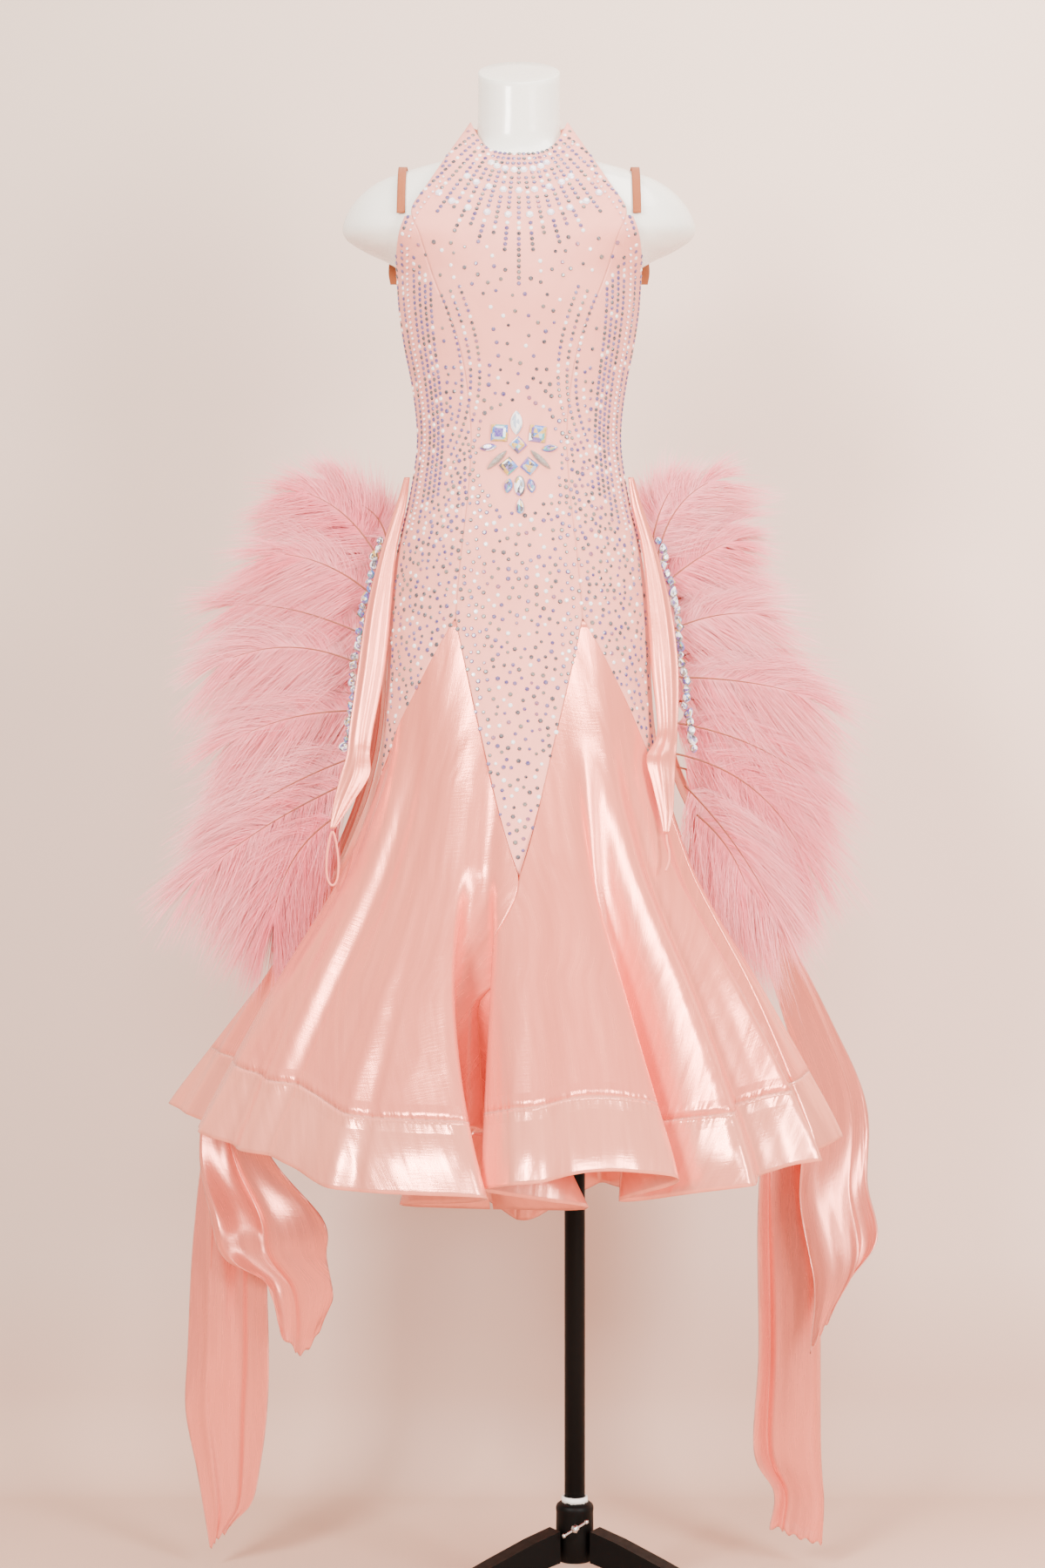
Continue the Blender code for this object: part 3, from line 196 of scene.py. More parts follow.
# The chain of set stones beside each band's outer edge.
ChainRow = namedtuple("ChainRow", "height x")
CHAIN_ROWS = rows_of(
    ChainRow,
    (1.228, 0.1610), (1.201, 0.1665), (1.166, 0.1745), (1.116, 0.1840), (1.071, 0.1890), (1.026, 0.1930),
    (0.986, 0.1990),
)
CHAIN_DEPTH = -0.0130
FloatRow = namedtuple("FloatRow", "height x y width turn pleat")
FLOATS = {
    "float_left_tail": rows_of(
        FloatRow,
        (1.130, -0.1440, 0.080, 0.030, -62, 0.002), (0.980, -0.1560, 0.100, 0.044, -60, 0.004),
        (0.840, -0.1960, 0.142, 0.060, -56, 0.006), (0.720, -0.2560, 0.176, 0.074, -50, 0.008),
        (0.620, -0.3080, 0.200, 0.088, -42, 0.010), (0.540, -0.3420, 0.200, 0.100, -30, 0.014),
        (0.400, -0.3520, 0.190, 0.104, -12, 0.016), (0.260, -0.3530, 0.180, 0.112, -8, 0.014),
        (0.190, -0.3550, 0.178, 0.110, -6, 0.010), (0.120, -0.3520, 0.176, 0.086, -6, 0.008),
        (0.060, -0.3520, 0.174, 0.062, -4, 0.006), (0.024, -0.3620, 0.174, 0.028, -4, 0.003),
    ),
    "float_left_panel": rows_of(
        FloatRow,
        (1.130, -0.1560, 0.066, 0.020, -66, 0.002), (0.980, -0.1720, 0.084, 0.030, -64, 0.003),
        (0.840, -0.2240, 0.122, 0.040, -60, 0.004), (0.720, -0.2900, 0.150, 0.056, -56, 0.005),
        (0.620, -0.3500, 0.176, 0.070, -50, 0.006), (0.510, -0.3480, 0.176, 0.100, -26, 0.010),
        (0.430, -0.3060, 0.142, 0.138, -6, 0.012), (0.385, -0.2960, 0.136, 0.126, -2, 0.010),
        (0.345, -0.2700, 0.134, 0.086, 0, 0.008), (0.300, -0.2630, 0.134, 0.076, 2, 0.008),
        (0.258, -0.2650, 0.136, 0.056, 4, 0.006),
    ),
    "float_right_tail": rows_of(
        FloatRow,
        (1.130, 0.1440, 0.080, 0.030, 62, 0.002), (0.980, 0.1560, 0.100, 0.044, 60, 0.004),
        (0.840, 0.1960, 0.142, 0.060, 56, 0.006), (0.720, 0.2520, 0.180, 0.070, 50, 0.008),
        (0.620, 0.3000, 0.206, 0.080, 42, 0.010), (0.540, 0.3260, 0.204, 0.084, 30, 0.014),
        (0.400, 0.3300, 0.190, 0.084, 12, 0.018), (0.260, 0.3300, 0.180, 0.080, 8, 0.018),
        (0.140, 0.3270, 0.172, 0.084, 5, 0.014), (0.080, 0.3400, 0.170, 0.062, 2, 0.010),
        (0.030, 0.3360, 0.168, 0.064, 0, 0.008),
    ),
    "float_right_panel": rows_of(
        FloatRow,
        (1.130, 0.1580, 0.066, 0.020, 66, 0.002), (0.980, 0.1820, 0.084, 0.030, 64, 0.003),
        (0.860, 0.2440, 0.104, 0.044, 58, 0.004), (0.770, 0.3020, 0.124, 0.060, 50, 0.006),
        (0.660, 0.3520, 0.155, 0.080, 44, 0.008), (0.560, 0.3850, 0.168, 0.092, 36, 0.010),
        (0.450, 0.3800, 0.156, 0.084, 20, 0.012), (0.350, 0.3900, 0.134, 0.072, 5, 0.010),
        (0.270, 0.3660, 0.130, 0.034, 0, 0.006),
    ),
}

# How each float ends: the lift of its right side (or left, if negative), and of both.
FloatEnd = namedtuple("FloatEnd", "slant rounding")
FLOAT_ENDS = {
    "float_left_tail": FloatEnd(0.030, 0.000),
    "float_left_panel": FloatEnd(-0.020, 0.045),
    "float_right_tail": FloatEnd(-0.022, 0.000),
    "float_right_panel": FloatEnd(0.070, 0.000),
}

FORM_EASE = 0.0050
FORM_RINGS = rows_of(
    Ring,
    (1.720, 0.0470, 0.0470, 0.0470), (1.700, 0.0480, 0.0470, 0.0480), (1.680, 0.0540, 0.0475, 0.0520),
    (1.664, 0.0850, 0.0520, 0.0640), (1.651, 0.1300, 0.0600, 0.0720), (1.638, 0.1640, 0.0690, 0.0800),
    (1.615, 0.1900, 0.0830, 0.0880), (1.590, 0.2020, 0.0950, 0.0930), (1.576, 0.1990, 0.1010, 0.0950),
    (1.563, 0.1800, 0.1050, 0.0950), (1.551, 0.1540, 0.1080, 0.0950), (1.540, 0.1390, 0.1100, 0.0950),
    (1.060, 0.1450, 0.0990, 0.1220), (1.015, 0.1380, 0.0920, 0.1150), (0.985, 0.1150, 0.0740, 0.0940),
)


# ------------------------------------------------------------ what a user may change
class DressSizes(bpy.types.PropertyGroup):
    """Sizes and counts of the dress's fine work."""

    cloth: FloatProperty(name="Cloth", description="Wall of the cloth", default=0.001, unit="LENGTH")
    ripple: FloatProperty(name="Ripples", description="Strength of the satin's fine ripples", default=1.0)
    feathers: IntProperty(name="Feathers", description="Feathers in each layer of a fan", default=9, min=2)
    barbs: IntProperty(
        name="Barbs", description="Strands on each side of one quill", default=760, min=10
    )
    small_stone: FloatProperty(
        name="Small stone", description="Radius of a small stone", default=0.0026, unit="LENGTH"
    )
    pearl: FloatProperty(name="Pearl", description="Radius of a pearl", default=0.0018, unit="LENGTH")


def colour_property(name, description, default):
    return FloatVectorProperty(
        name=name, description=description, default=default, subtype="COLOR", size=3, min=0, max=1
    )


class DressColours(bpy.types.PropertyGroup):
    """Colours of the dress and its stand."""

    jersey: colour_property("Jersey", "Bodice jersey", (0.95, 0.36, 0.28))
    satin: colour_property("Satin", "Godets, bands and floats", (0.96, 0.25, 0.17))
    feather: colour_property("Feather", "Deep pink of the feathers", (0.86, 0.12, 0.18))
    feather_tip: colour_property("Feather tips", "Pale pink of the barbs", (0.97, 0.52, 0.53))
    quill: colour_property("Quill", "Shaft of a feather", (0.24, 0.055, 0.02))
    strap: colour_property("Strap", "Elastic straps", (0.33, 0.09, 0.03))
    shell: colour_property("Form", "Gloss shell of the dress form", (0.88, 0.84, 0.76))
    black: colour_property("Stand", "Black coating of the stand", (0.002, 0.0017, 0.0016))
    wall: colour_property("Backdrop", "Paper behind and under the dress", (0.74, 0.58, 0.49))


# ------------------------------------------------------------ smooth tables
def through(keys, values):
    """A function that reads a smooth curve through these values."""
    order = np.argsort(keys)
    keys, values = np.asarray(keys, float)[order], np.asarray(values, float)[order]
    n = np.arange(len(keys))
    before, after = np.maximum(n - 1, 0), np.minimum(n + 1, len(keys) - 1)
    slopes = (values[after] - values[before]) / (keys[after] - keys[before])

    def at(place):
        place = np.clip(place, keys[0], keys[-1])
        i = np.clip(np.searchsorted(keys, place) - 1, 0, len(keys) - 2)
        span = keys[i + 1] - keys[i]
        t = (place - keys[i]) / span
        return (
            (2 * t**3 - 3 * t**2 + 1) * values[i]
            + (t**3 - 2 * t**2 + t) * span * slopes[i]
            + (3 * t**2 - 2 * t**3) * values[i + 1]
            + (t**3 - t**2) * span * slopes[i + 1]
        )

    return at


def column(rows, name, key="height"):
    """A smooth curve through one column of a table."""
    return through([getattr(r, key) for r in rows], [getattr(r, name) for r in rows])


def by_index(rows):
    """Smooth curves through every column of a table, read by row number."""
    places = range(len(rows))
    return {name: through(places, [getattr(r, name) for r in rows]) for name in rows[0]._fields}


def smooth_step(value):
    value = np.clip(value, 0, 1)
    return value * value * (3 - 2 * value)


def mirrored(grid):
    """A grid taken to the other side, still running from left to right."""
    return grid[:, ::-1] * np.array([-1, 1, 1])


def lengths_along(points, axis):
    """Running length of a grid's cloth along one of its ways."""
    steps = np.linalg.norm(np.diff(points, axis=axis), axis=-1)
    zero = np.zeros_like(np.take(steps, [0], axis=axis))
    return np.concatenate([zero, np.cumsum(steps, axis=axis)], axis=axis)


# ------------------------------------------------------------ the garment's surface
WIDTH_AT = column(DRESS_RINGS, "half_width")
FRONT_AT = column(DRESS_RINGS, "front")
BACK_AT = column(DRESS_RINGS, "back")
SEAM_AT = {name: column(SEAM_ROWS, name) for name in ("princess", "side", "back")}
HEM_AT = column(HEM_ROWS, "height", key="angle")
CHEST_AT = by_index(CHEST_ROWS)
SECTION_AT = {
    kind: (column(rows, "across", key="along"), column(rows, "inward", key="along"))
    for kind, rows in FOLD_SECTIONS.items()
}


def ring_point(angle, height):
    """The outside of the cloth at these angles and heights, before the folds."""
    a = np.radians(angle)
    depth = np.where(np.cos(a) > 0, FRONT_AT(height), BACK_AT(height))
    parts = WIDTH_AT(height) * np.sin(a), -depth * np.cos(a), height + 0 * a
    return np.stack(np.broadcast_arrays(*parts), axis=-1)


def fold_shift(fold, angle, down, half_width):
    """How one fold moves the cloth."""
    along = fold.hand * ((angle - fold.angle + 180) % 360 - 180) / fold.half_width
    held = (np.abs(along) < 1) & (down > fold.start)
    grown = np.where(held, np.clip((down - fold.start) / (1 - fold.start), 0, 1) ** 1.2, 0)
    across_at, inward_at = SECTION_AT[fold.kind]
    sideways = (across_at(along) - along) * fold.hand * radians(fold.half_width) * half_width
    inward = inward_at(along) * fold.depth
    a = radians(fold.angle)
    return np.stack(
        [
            grown * (cos(a) * sideways - sin(a) * inward),
            grown * (sin(a) * sideways + cos(a) * inward),
            grown * -INFOLD_DROP * inward,
        ],
        axis=-1,
    )


def skirt_point(angle, down, ripple=0.0):
    """Points of the skirt: down is 0 at the hip and 1 at the hem."""
    angle, down = np.broadcast_arrays(np.asarray(angle, float), np.asarray(down, float))
    turn = (angle + 180) % 360 - 180
    height = HIP + (HEM_AT(turn) - HIP) * down
    point = ring_point(angle, height)
    for fold in FOLDS:
        point = point + fold_shift(fold, angle, down, WIDTH_AT(height))
    if ripple:
        a = np.radians(angle)
        wave = sum(
            r.height * smooth_step((down - r.start) / 0.8)
            * np.sin(r.count * a + r.phase + r.twist * down * 3)
            for r in RIPPLES
        )
        point = point + ripple * wave[..., None] * np.stack([np.sin(a), -np.cos(a), 0 * a], -1)
    return point


def skirt_lengths():
    """Length of the cloth from hip to hem, at each whole degree."""
    angles = np.arange(-180, 181, 1.0)
    points = skirt_point(angles[None, :], np.linspace(0, 1, 13)[:, None])
    return angles, lengths_along(points, 0)[-1]


LENGTH_ANGLES, SKIRT_LENGTHS = skirt_lengths()


def band_top(angle):
    """Where the hem band starts, as a share of the way down."""
    turn = (np.asarray(angle) + 180) % 360 - 180
    return 1 - BAND / np.interp(turn, LENGTH_ANGLES, SKIRT_LENGTHS)


def godet_edge(apex, point, share):
    """A godet's edge angle at each share of the way from the hip to its hem band."""
    angle = np.full_like(np.asarray(share, float), apex)
    for _ in range(4):
        down = share * band_top(angle)
        angle = apex + (point.angle - apex) * np.minimum(down / point.reach, 1)
    return angle


def front_lean(share):
    """How far the seam between the front godets has turned into the deep fold."""
    down = share * band_top(0)
    return FRONT_LEAN * smooth_step((down - POINTS["front"].reach) / LEAN_RUN)


def chest_point(across, row):
    """The front above the armholes: across runs from -1 to 1."""
    a = np.radians(90 * across)
    front, edge = CHEST_AT["front"](row), CHEST_AT["edge_front"](row)
    lift = CHEST_AT["lift"](row) * np.abs(np.sin(a)) ** 3.5
    parts = (
        CHEST_AT["half_width"](row) * np.sin(a),
        -(edge + (front - edge) * np.cos(a)),
        CHEST_AT["height"](row) + lift,
    )
    return np.stack(np.broadcast_arrays(*parts), axis=-1)


def between(low, high, columns):
    """Even steps between two edges, given for each row."""
    return low[:, None] + (high - low)[:, None] * np.linspace(0, 1, columns)[None, :]


# ------------------------------------------------------------ mesh makers
def mesh_from(name, points, faces, smooth=True):
    """A mesh from arrays; faces all have the same number of corners."""
    points, faces = np.asarray(points, np.float32).reshape(-1, 3), np.asarray(faces, np.int32)
    mesh = bpy.data.meshes.new(name)
    mesh.vertices.add(len(points))
    mesh.vertices.foreach_set("co", points.ravel())
    mesh.loops.add(faces.size)
    mesh.loops.foreach_set("vertex_index", faces.ravel())
    mesh.polygons.add(len(faces))
    mesh.polygons.foreach_set("loop_start", np.arange(len(faces), dtype=np.int32) * faces.shape[1])
    mesh.polygons.foreach_set("use_smooth", np.full(len(faces), smooth))
    mesh.update(calc_edges=True)
    mesh.validate()
    return mesh


def linked(name, mesh):
    obj = bpy.data.objects.new(name, mesh)
    bpy.context.scene.collection.objects.link(obj)
    return obj


def grid_faces(rows, columns, closed=False):
    """Quads of a grid of points, closed round its columns if asked."""
    index = np.arange(rows * columns).reshape(rows, columns)
    if closed:
        index = np.concatenate([index, index[:, :1]], axis=1)
    corners = index[:-1, :-1], index[1:, :-1], index[1:, 1:], index[:-1, 1:]
    return np.stack(corners, axis=-1).reshape(-1, 4)


def set_uv(mesh, values):
    """A UV map in metres of cloth, from one pair of values for each point."""
    layer = mesh.uv_layers.new(name="UVMap")
    corner = np.zeros(len(mesh.loops), np.int32)
    mesh.loops.foreach_get("vertex_index", corner)
    layer.data.foreach_set("uv", np.asarray(values, np.float32).reshape(-1, 2)[corner].ravel())


def set_value(mesh, name, values, kind="FLOAT"):
    field = mesh.attributes.new(name, kind, "POINT")
    key = "value" if kind == "FLOAT" else "vector"
    field.data.foreach_set(key, np.asarray(values, np.float32).ravel())


def settle(obj, body, material, nodes=()):
    """The usual calls on a finished piece."""
    if not obj.data.materials:
        obj.data.materials.append(material)
    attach(obj, body)
    if nodes:
        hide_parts(*nodes)
    return obj


def cloth(node, grid, slot, material, held, rests_on, seam_away=None):
    """A cloth piece for a node: an open grid, thickened inwards, with a UV map in metres of cloth."""
    rows, columns, _ = grid.shape
    mesh = mesh_from(node, grid, grid_faces(rows, columns))
    run, drop = lengths_along(grid, 1), lengths_along(grid, 0)
    set_uv(mesh, np.stack([run - run[:, -1:] / 2, drop], axis=-1))
    set_value(mesh, "seam_away", np.ones(rows * columns) if seam_away is None else seam_away)
    obj = linked(node + "_cloth", mesh)
    shell = obj.modifiers.new("cloth", "SOLIDIFY")
    shell.thickness = bpy.context.scene.dress_sizes.cloth
    shell.offset = -1
    settle(obj, "figure", material, [node])
    return obj


def tube(path, radii, sides=8):
    """A round tube along a path of points, closed at both ends."""
    path, radii = np.asarray(path, float), np.broadcast_to(radii, len(path))
    tangent = np.gradient(path, axis=0)
    tangent /= np.linalg.norm(tangent, axis=1)[:, None]
    side = np.cross(tangent, [0.31, 0.74, 0.21])
    side /= np.linalg.norm(side, axis=1)[:, None]
    other = np.cross(tangent, side)
    a = np.linspace(0, 2 * pi, sides, endpoint=False)
    ring = side[:, None] * np.cos(a)[None, :, None] + other[:, None] * np.sin(a)[None, :, None]
    points = path[:, None] + ring * radii[:, None, None]
    first, last = np.repeat(path[:1], sides, 0)[None], np.repeat(path[-1:], sides, 0)[None]
    return np.concatenate([first, points, last]), grid_faces(len(path) + 2, sides, closed=True)


def joined(parts):
    """Several (points, faces) pairs as one."""
    points, faces, count = [], [], 0
    for some_points, some_faces in parts:
        some_points = np.asarray(some_points).reshape(-1, 3)
        points.append(some_points)
        faces.append(np.asarray(some_faces) + count)
        count += len(some_points)
    return np.concatenate(points), np.concatenate(faces)


def tidy_solid(mesh):
    """Merges a solid's poles and points its faces outwards."""
    solid = bmesh.new()
    solid.from_mesh(mesh)
    bmesh.ops.remove_doubles(solid, verts=solid.verts, dist=1e-6)
    bmesh.ops.dissolve_degenerate(solid, dist=1e-7, edges=solid.edges)
    bmesh.ops.recalc_face_normals(solid, faces=solid.faces)
    solid.to_mesh(mesh)
    solid.free()
    return mesh


def lathe(name, profile, steps=64):
    """A solid turned round the pole's axis, from (radius, height) pairs."""
    profile = np.asarray(profile, float)
    a = np.linspace(0, 2 * pi, steps, endpoint=False)
    radius, height = profile[:, :1], profile[:, 1:]
    points = np.stack([POLE_X + radius * np.cos(a), radius * np.sin(a), height + 0 * a], axis=-1)
    return linked(name, tidy_solid(mesh_from(name, points, grid_faces(len(profile), steps, True))))


# ------------------------------------------------------------ shader groups and materials
def group_tree(name, inputs, outputs):
    """A shader group with these named sockets, and its first and last nodes."""
    tree = bpy.data.node_groups.new(name, "ShaderNodeTree")
    for socket, kind, default in inputs:
        made = tree.interface.new_socket(socket, in_out="INPUT", socket_type=kind)
        if default is not None:
            made.default_value = default
    for socket, kind in outputs:
        tree.interface.new_socket(socket, in_out="OUTPUT", socket_type=kind)
    return tree, tree.nodes.new("NodeGroupInput"), tree.nodes.new("NodeGroupOutput")


def wire(tree, source, target):
    tree.links.new(source, target)


def node(tree, kind, **settings):
    """A node with its settings; a setting whose name is a socket's fills that socket."""
    made = tree.nodes.new(kind)
    for name, value in settings.items():
        if hasattr(made, name):
            setattr(made, name, value)
        else:
            socket = made.inputs[name.replace("_", " ")]
            if isinstance(value, bpy.types.NodeSocket):
                wire(tree, value, socket)
            else:
                socket.default_value = value
    return made


def maths(tree, operation, a, b=None):
    """One Math node's result."""
    made = tree.nodes.new("ShaderNodeMath")
    made.operation = operation
    for socket, value in zip(made.inputs, (a, b)):
        if isinstance(value, bpy.types.NodeSocket):
            wire(tree, value, socket)
        elif value is not None:
            socket.default_value = value
    return made.outputs[0]


def times(tree, a, b):
    return maths(tree, "MULTIPLY", a, b)


def noise(tree, vector, **settings):
    """A noise texture's value at these places."""
    return node(tree, "ShaderNodeTexNoise", Vector=vector, **settings).outputs[0]


def attribute(tree, name):
    """A value that the mesh carries at each point."""
    return node(tree, "ShaderNodeAttribute", attribute_name=name).outputs["Fac"]


def object_place(tree):
    return node(tree, "ShaderNodeTexCoord").outputs["Object"]


def uv_place(tree):
    return node(tree, "ShaderNodeUVMap", uv_map="UVMap").outputs[0]


def feed(tree, shader, **sources):
    """Joins values that vary over the surface to the shader's sockets."""
    for name, source in sources.items():
        wire(tree, source, shader.inputs[name.replace("_", " ")])


def scaled_vector(tree, vector, scale):
    made = tree.nodes.new("ShaderNodeVectorMath")
    made.operation = "MULTIPLY"
    wire(tree, vector, made.inputs[0])
    if isinstance(scale, bpy.types.NodeSocket):
        wire(tree, scale, made.inputs[1])
    else:
        made.inputs[1].default_value = scale
    return made.outputs[0]


def streaks_group():
    """Long soft streaks and short threads, as satin has along its warp."""
    tree, start, end = group_tree(
        "satin_threads",
        [
            ("Vector", "NodeSocketVector", None),
            ("Streak", "NodeSocketFloat", 1.0),
            ("Thread", "NodeSocketFloat", 0.4),
        ],
        [("Height", "NodeSocketFloat"), ("Mask", "NodeSocketFloat")],
    )
    vector = start.outputs["Vector"]
    wide = noise(tree, scaled_vector(tree, vector, (110, 9, 1)), Scale=1.0, Detail=3.0, Roughness=0.6)
    fine = noise(tree, scaled_vector(tree, vector, (900, 60, 1)), Scale=1.0, Detail=2.0, Roughness=0.7)
    cross = noise(tree, scaled_vector(tree, vector, (40, 420, 1)), Scale=1.0, Detail=2.0, Roughness=0.6)
    both = maths(tree, "ADD", times(tree, fine, 0.5), times(tree, cross, 0.5))
    streaks = times(tree, wide, start.outputs["Streak"])
    height = maths(tree, "ADD", streaks, times(tree, both, start.outputs["Thread"]))
    wire(tree, height, end.inputs["Height"])
    wire(tree, wide, end.inputs["Mask"])
    return tree


def knit_group():
    """Fine knit ribs with a slight unevenness."""
    tree, start, end = group_tree(
        "fine_knit",
        [("Vector", "NodeSocketVector", None), ("Gauge", "NodeSocketFloat", 1400.0)],
        [("Height", "NodeSocketFloat"), ("Mask", "NodeSocketFloat")],
    )
    ribs = node(tree, "ShaderNodeTexWave", wave_type="BANDS", bands_direction="X", Scale=1.0, Distortion=1.5)
    vector = node(tree, "ShaderNodeVectorMath", operation="SCALE")
    wire(tree, start.outputs["Vector"], vector.inputs[0])
    wire(tree, start.outputs["Gauge"], vector.inputs["Scale"])
    wire(tree, vector.outputs[0], ribs.inputs["Vector"])
    cloudy = node(tree, "ShaderNodeTexNoise", Scale=16.0, Detail=4.0)
    wire(tree, start.outputs["Vector"], cloudy.inputs["Vector"])
    wire(tree, ribs.outputs["Fac"], end.inputs["Height"])
    wire(tree, cloudy.outputs[0], end.inputs["Mask"])
    return tree


def wear_group():
    """Small scuffs and dust for hard surfaces."""
    tree, start, end = group_tree(
        "scuffs",
        [
            ("Vector", "NodeSocketVector", None),
            ("Size", "NodeSocketFloat", 60.0),
            ("Amount", "NodeSocketFloat", 0.3),
        ],
        [("Mask", "NodeSocketFloat"), ("Height", "NodeSocketFloat")],
    )
    scratch = node(tree, "ShaderNodeTexNoise", Detail=6.0, Roughness=0.75)
    wire(tree, start.outputs["Vector"], scratch.inputs["Vector"])
    wire(tree, start.outputs["Size"], scratch.inputs["Scale"])
    sharp = node(tree, "ShaderNodeMapRange", From_Min=0.62, From_Max=0.72)
    wire(tree, scratch.outputs[0], sharp.inputs["Value"])
    wire(tree, maths(tree, "MULTIPLY", sharp.outputs[0], start.outputs["Amount"]), end.inputs["Mask"])
    wire(tree, scratch.outputs[0], end.inputs["Height"])
    return tree


GROUPS = {}


def placed_group(tree, make, **values):
    """A shared group placed in a material, with its own values."""
    if make.__name__ not in GROUPS:
        GROUPS[make.__name__] = make()
    made = tree.nodes.new("ShaderNodeGroup")
    made.node_tree = GROUPS[make.__name__]
    for name, value in values.items():
        if isinstance(value, bpy.types.NodeSocket):
            wire(tree, value, made.inputs[name])
        else:
            made.inputs[name].default_value = value
    return made


def principled(name, **values):
    """A new material, its tree and its Principled shader with constants set on its sockets."""
    material = bpy.data.materials.new(name)
    material.use_nodes = True
    tree = material.node_tree
    shader = tree.nodes["Principled BSDF"]
    for key, value in values.items():
        socket = shader.inputs[key.replace("_", " ")]
        socket.default_value = (*value, 1.0) if key.endswith("Color") else value
    return material, tree, shader


def bump(tree, shader, height, strength, distance):
    made = node(tree, "ShaderNodeBump", Strength=strength, Distance=distance)
    wire(tree, height, made.inputs["Height"])
    wire(tree, made.outputs[0], shader.inputs["Normal"])
    return made


def mixed(tree, factor, first, second):
    """A colour between two, by a mask."""
    made = tree.nodes.new("ShaderNodeMix")
    made.data_type = "RGBA"
    for socket, value in ((made.inputs[0], factor), (made.inputs[6], first), (made.inputs[7], second)):
        if isinstance(value, bpy.types.NodeSocket):
            wire(tree, value, socket)
        else:
            socket.default_value = value if isinstance(value, float) else (*value, 1.0)
    return made.outputs[2]


def ramped(tree, value, low, high, to_low=0.0, to_high=1.0):
    made = node(tree, "ShaderNodeMapRange", From_Min=low, From_Max=high, To_Min=to_low, To_Max=to_high)
    wire(tree, value, made.inputs["Value"])
    return made.outputs[0]


def shade_of(colour, factor):
    return tuple(min(c * factor, 0.98) for c in colour)


def satin_material(name, colour, shine=0.24, streak=0.45, crush=7.0):
    """Peach satin: streaky bright sheen along the warp, from its bumps and roughness and from painted sheen
    streaks in its colour, with a pucker beside sewn seams.
    """
    material, tree, shader = principled(
        name, Specular_IOR_Level=0.85, Metallic=0.35, Anisotropic=0.50, Sheen_Weight=0.05
    )
    shader.inputs["Specular Tint"].default_value = (1.0, 0.90, 0.84, 1.0)
    uv = uv_place(tree)
    threads = placed_group(tree, streaks_group, Vector=uv, Streak=streak, Thread=0.40)
    away = attribute(tree, "seam_away")
    near = ramped(tree, away, 0.0, 0.014, 1.0, 0.0)
    crimp = noise(tree, scaled_vector(tree, uv, (150, 22, 1)), Scale=1.0, Detail=1.0)
    pucker = times(tree, times(tree, crimp, near), 5.0)
    dip = times(tree, ramped(tree, away, 0.0, 0.0025, 0.0, 1.0), 0.5)
    wide = scaled_vector(tree, uv, (17, 5, 1))
    soft = times(tree, noise(tree, wide, Scale=1.0, Detail=2.5, Roughness=0.5, Distortion=0.6), crush)
    height = maths(tree, "ADD", threads.outputs["Height"], maths(tree, "ADD", pucker, dip))
    bump(tree, shader, maths(tree, "ADD", height, soft), 0.8, 0.0006)
    mask = threads.outputs["Mask"]
    # Painted sheen: the colour is lighter along the streaks that catch the light.
    tint = mixed(tree, ramped(tree, mask, 0.3, 0.7), shade_of(colour, 0.94), shade_of(colour, 1.05))
    tint = mixed(tree, times(tree, ramped(tree, away, 0.0, 0.002, 1.0, 0.0), 0.35), tint, (0.96, 0.62, 0.52))
    rough = ramped(tree, mask, 0.2, 0.8, shine - 0.05, shine + 0.07)
    tangent = node(tree, "ShaderNodeTangent", direction_type="UV_MAP", uv_map="UVMap").outputs[0]
    feed(tree, shader, Base_Color=tint, Roughness=rough, Tangent=tangent)
    return material


def jersey_material(name, colour):
    """Matt stretch jersey with a fine rib."""
    material, tree, shader = principled(name, Specular_IOR_Level=0.2, Sheen_Weight=0.12, Sheen_Roughness=0.5)
    shader.inputs["Sheen Tint"].default_value = (1.0, 0.80, 0.76, 1.0)
    uv = uv_place(tree)
    knit = placed_group(tree, knit_group, Vector=uv, Gauge=1500.0)
    mask, height = knit.outputs["Mask"], knit.outputs["Height"]
    tint = mixed(tree, ramped(tree, mask, 0.3, 0.7), shade_of(colour, 0.95), shade_of(colour, 1.04))
    tint = mixed(tree, times(tree, height, 0.12), tint, shade_of(colour, 0.75))
    feed(tree, shader, Base_Color=tint, Roughness=ramped(tree, mask, 0.3, 0.7, 0.58, 0.70))
    bump(tree, shader, height, 0.3, 0.0002)
    return material


def feather_material(name, deep, pale):
    """Dyed ostrich barbs in uneven tones, with painted shade: darker towards the quill, paler towards their
    ends.
    """
    material, tree, shader = principled(name, Specular_IOR_Level=0.2, Sheen_Weight=0.5, Sheen_Roughness=0.4)
    shade = attribute(tree, "shade")
    place = object_place(tree)
    patch = noise(tree, place, Scale=22.0, Detail=3.0)
    mask = maths(tree, "ADD", times(tree, shade, 0.75), times(tree, patch, 0.35))
    rough = ramped(tree, patch, 0.3, 0.7, 0.62, 0.8)
    feed(tree, shader, Base_Color=mixed(tree, mask, deep, pale), Roughness=rough)
    return material


def quill_material(name, colour):
    material, tree, shader = principled(name, Specular_IOR_Level=0.5)
    shade = attribute(tree, "shade")
    tint = mixed(tree, shade, shade_of(colour, 0.8), shade_of(colour, 1.3))
    feed(tree, shader, Base_Color=tint, Roughness=ramped(tree, shade, 0, 1, 0.35, 0.5))
    return material


# Painted glints: the colours that facets show in place of reflections, white, coloured flashes and dark.
GLINTS = [
    (0.00, (1.00, 1.00, 1.00)),
    (0.10, (0.62, 0.74, 0.95)),
    (0.20, (1.00, 0.56, 0.02)),
    (0.30, (0.13, 0.03, 0.50)),
    (0.40, (0.36, 0.16, 0.66)),
    (0.50, (0.02, 0.22, 0.85)),
    (0.60, (0.03, 0.55, 0.55)),
    (0.70, (0.80, 0.20, 0.46)),
    (0.80, (0.04, 0.02, 0.06)),
    (0.90, (0.40, 0.32, 0.26)),
]
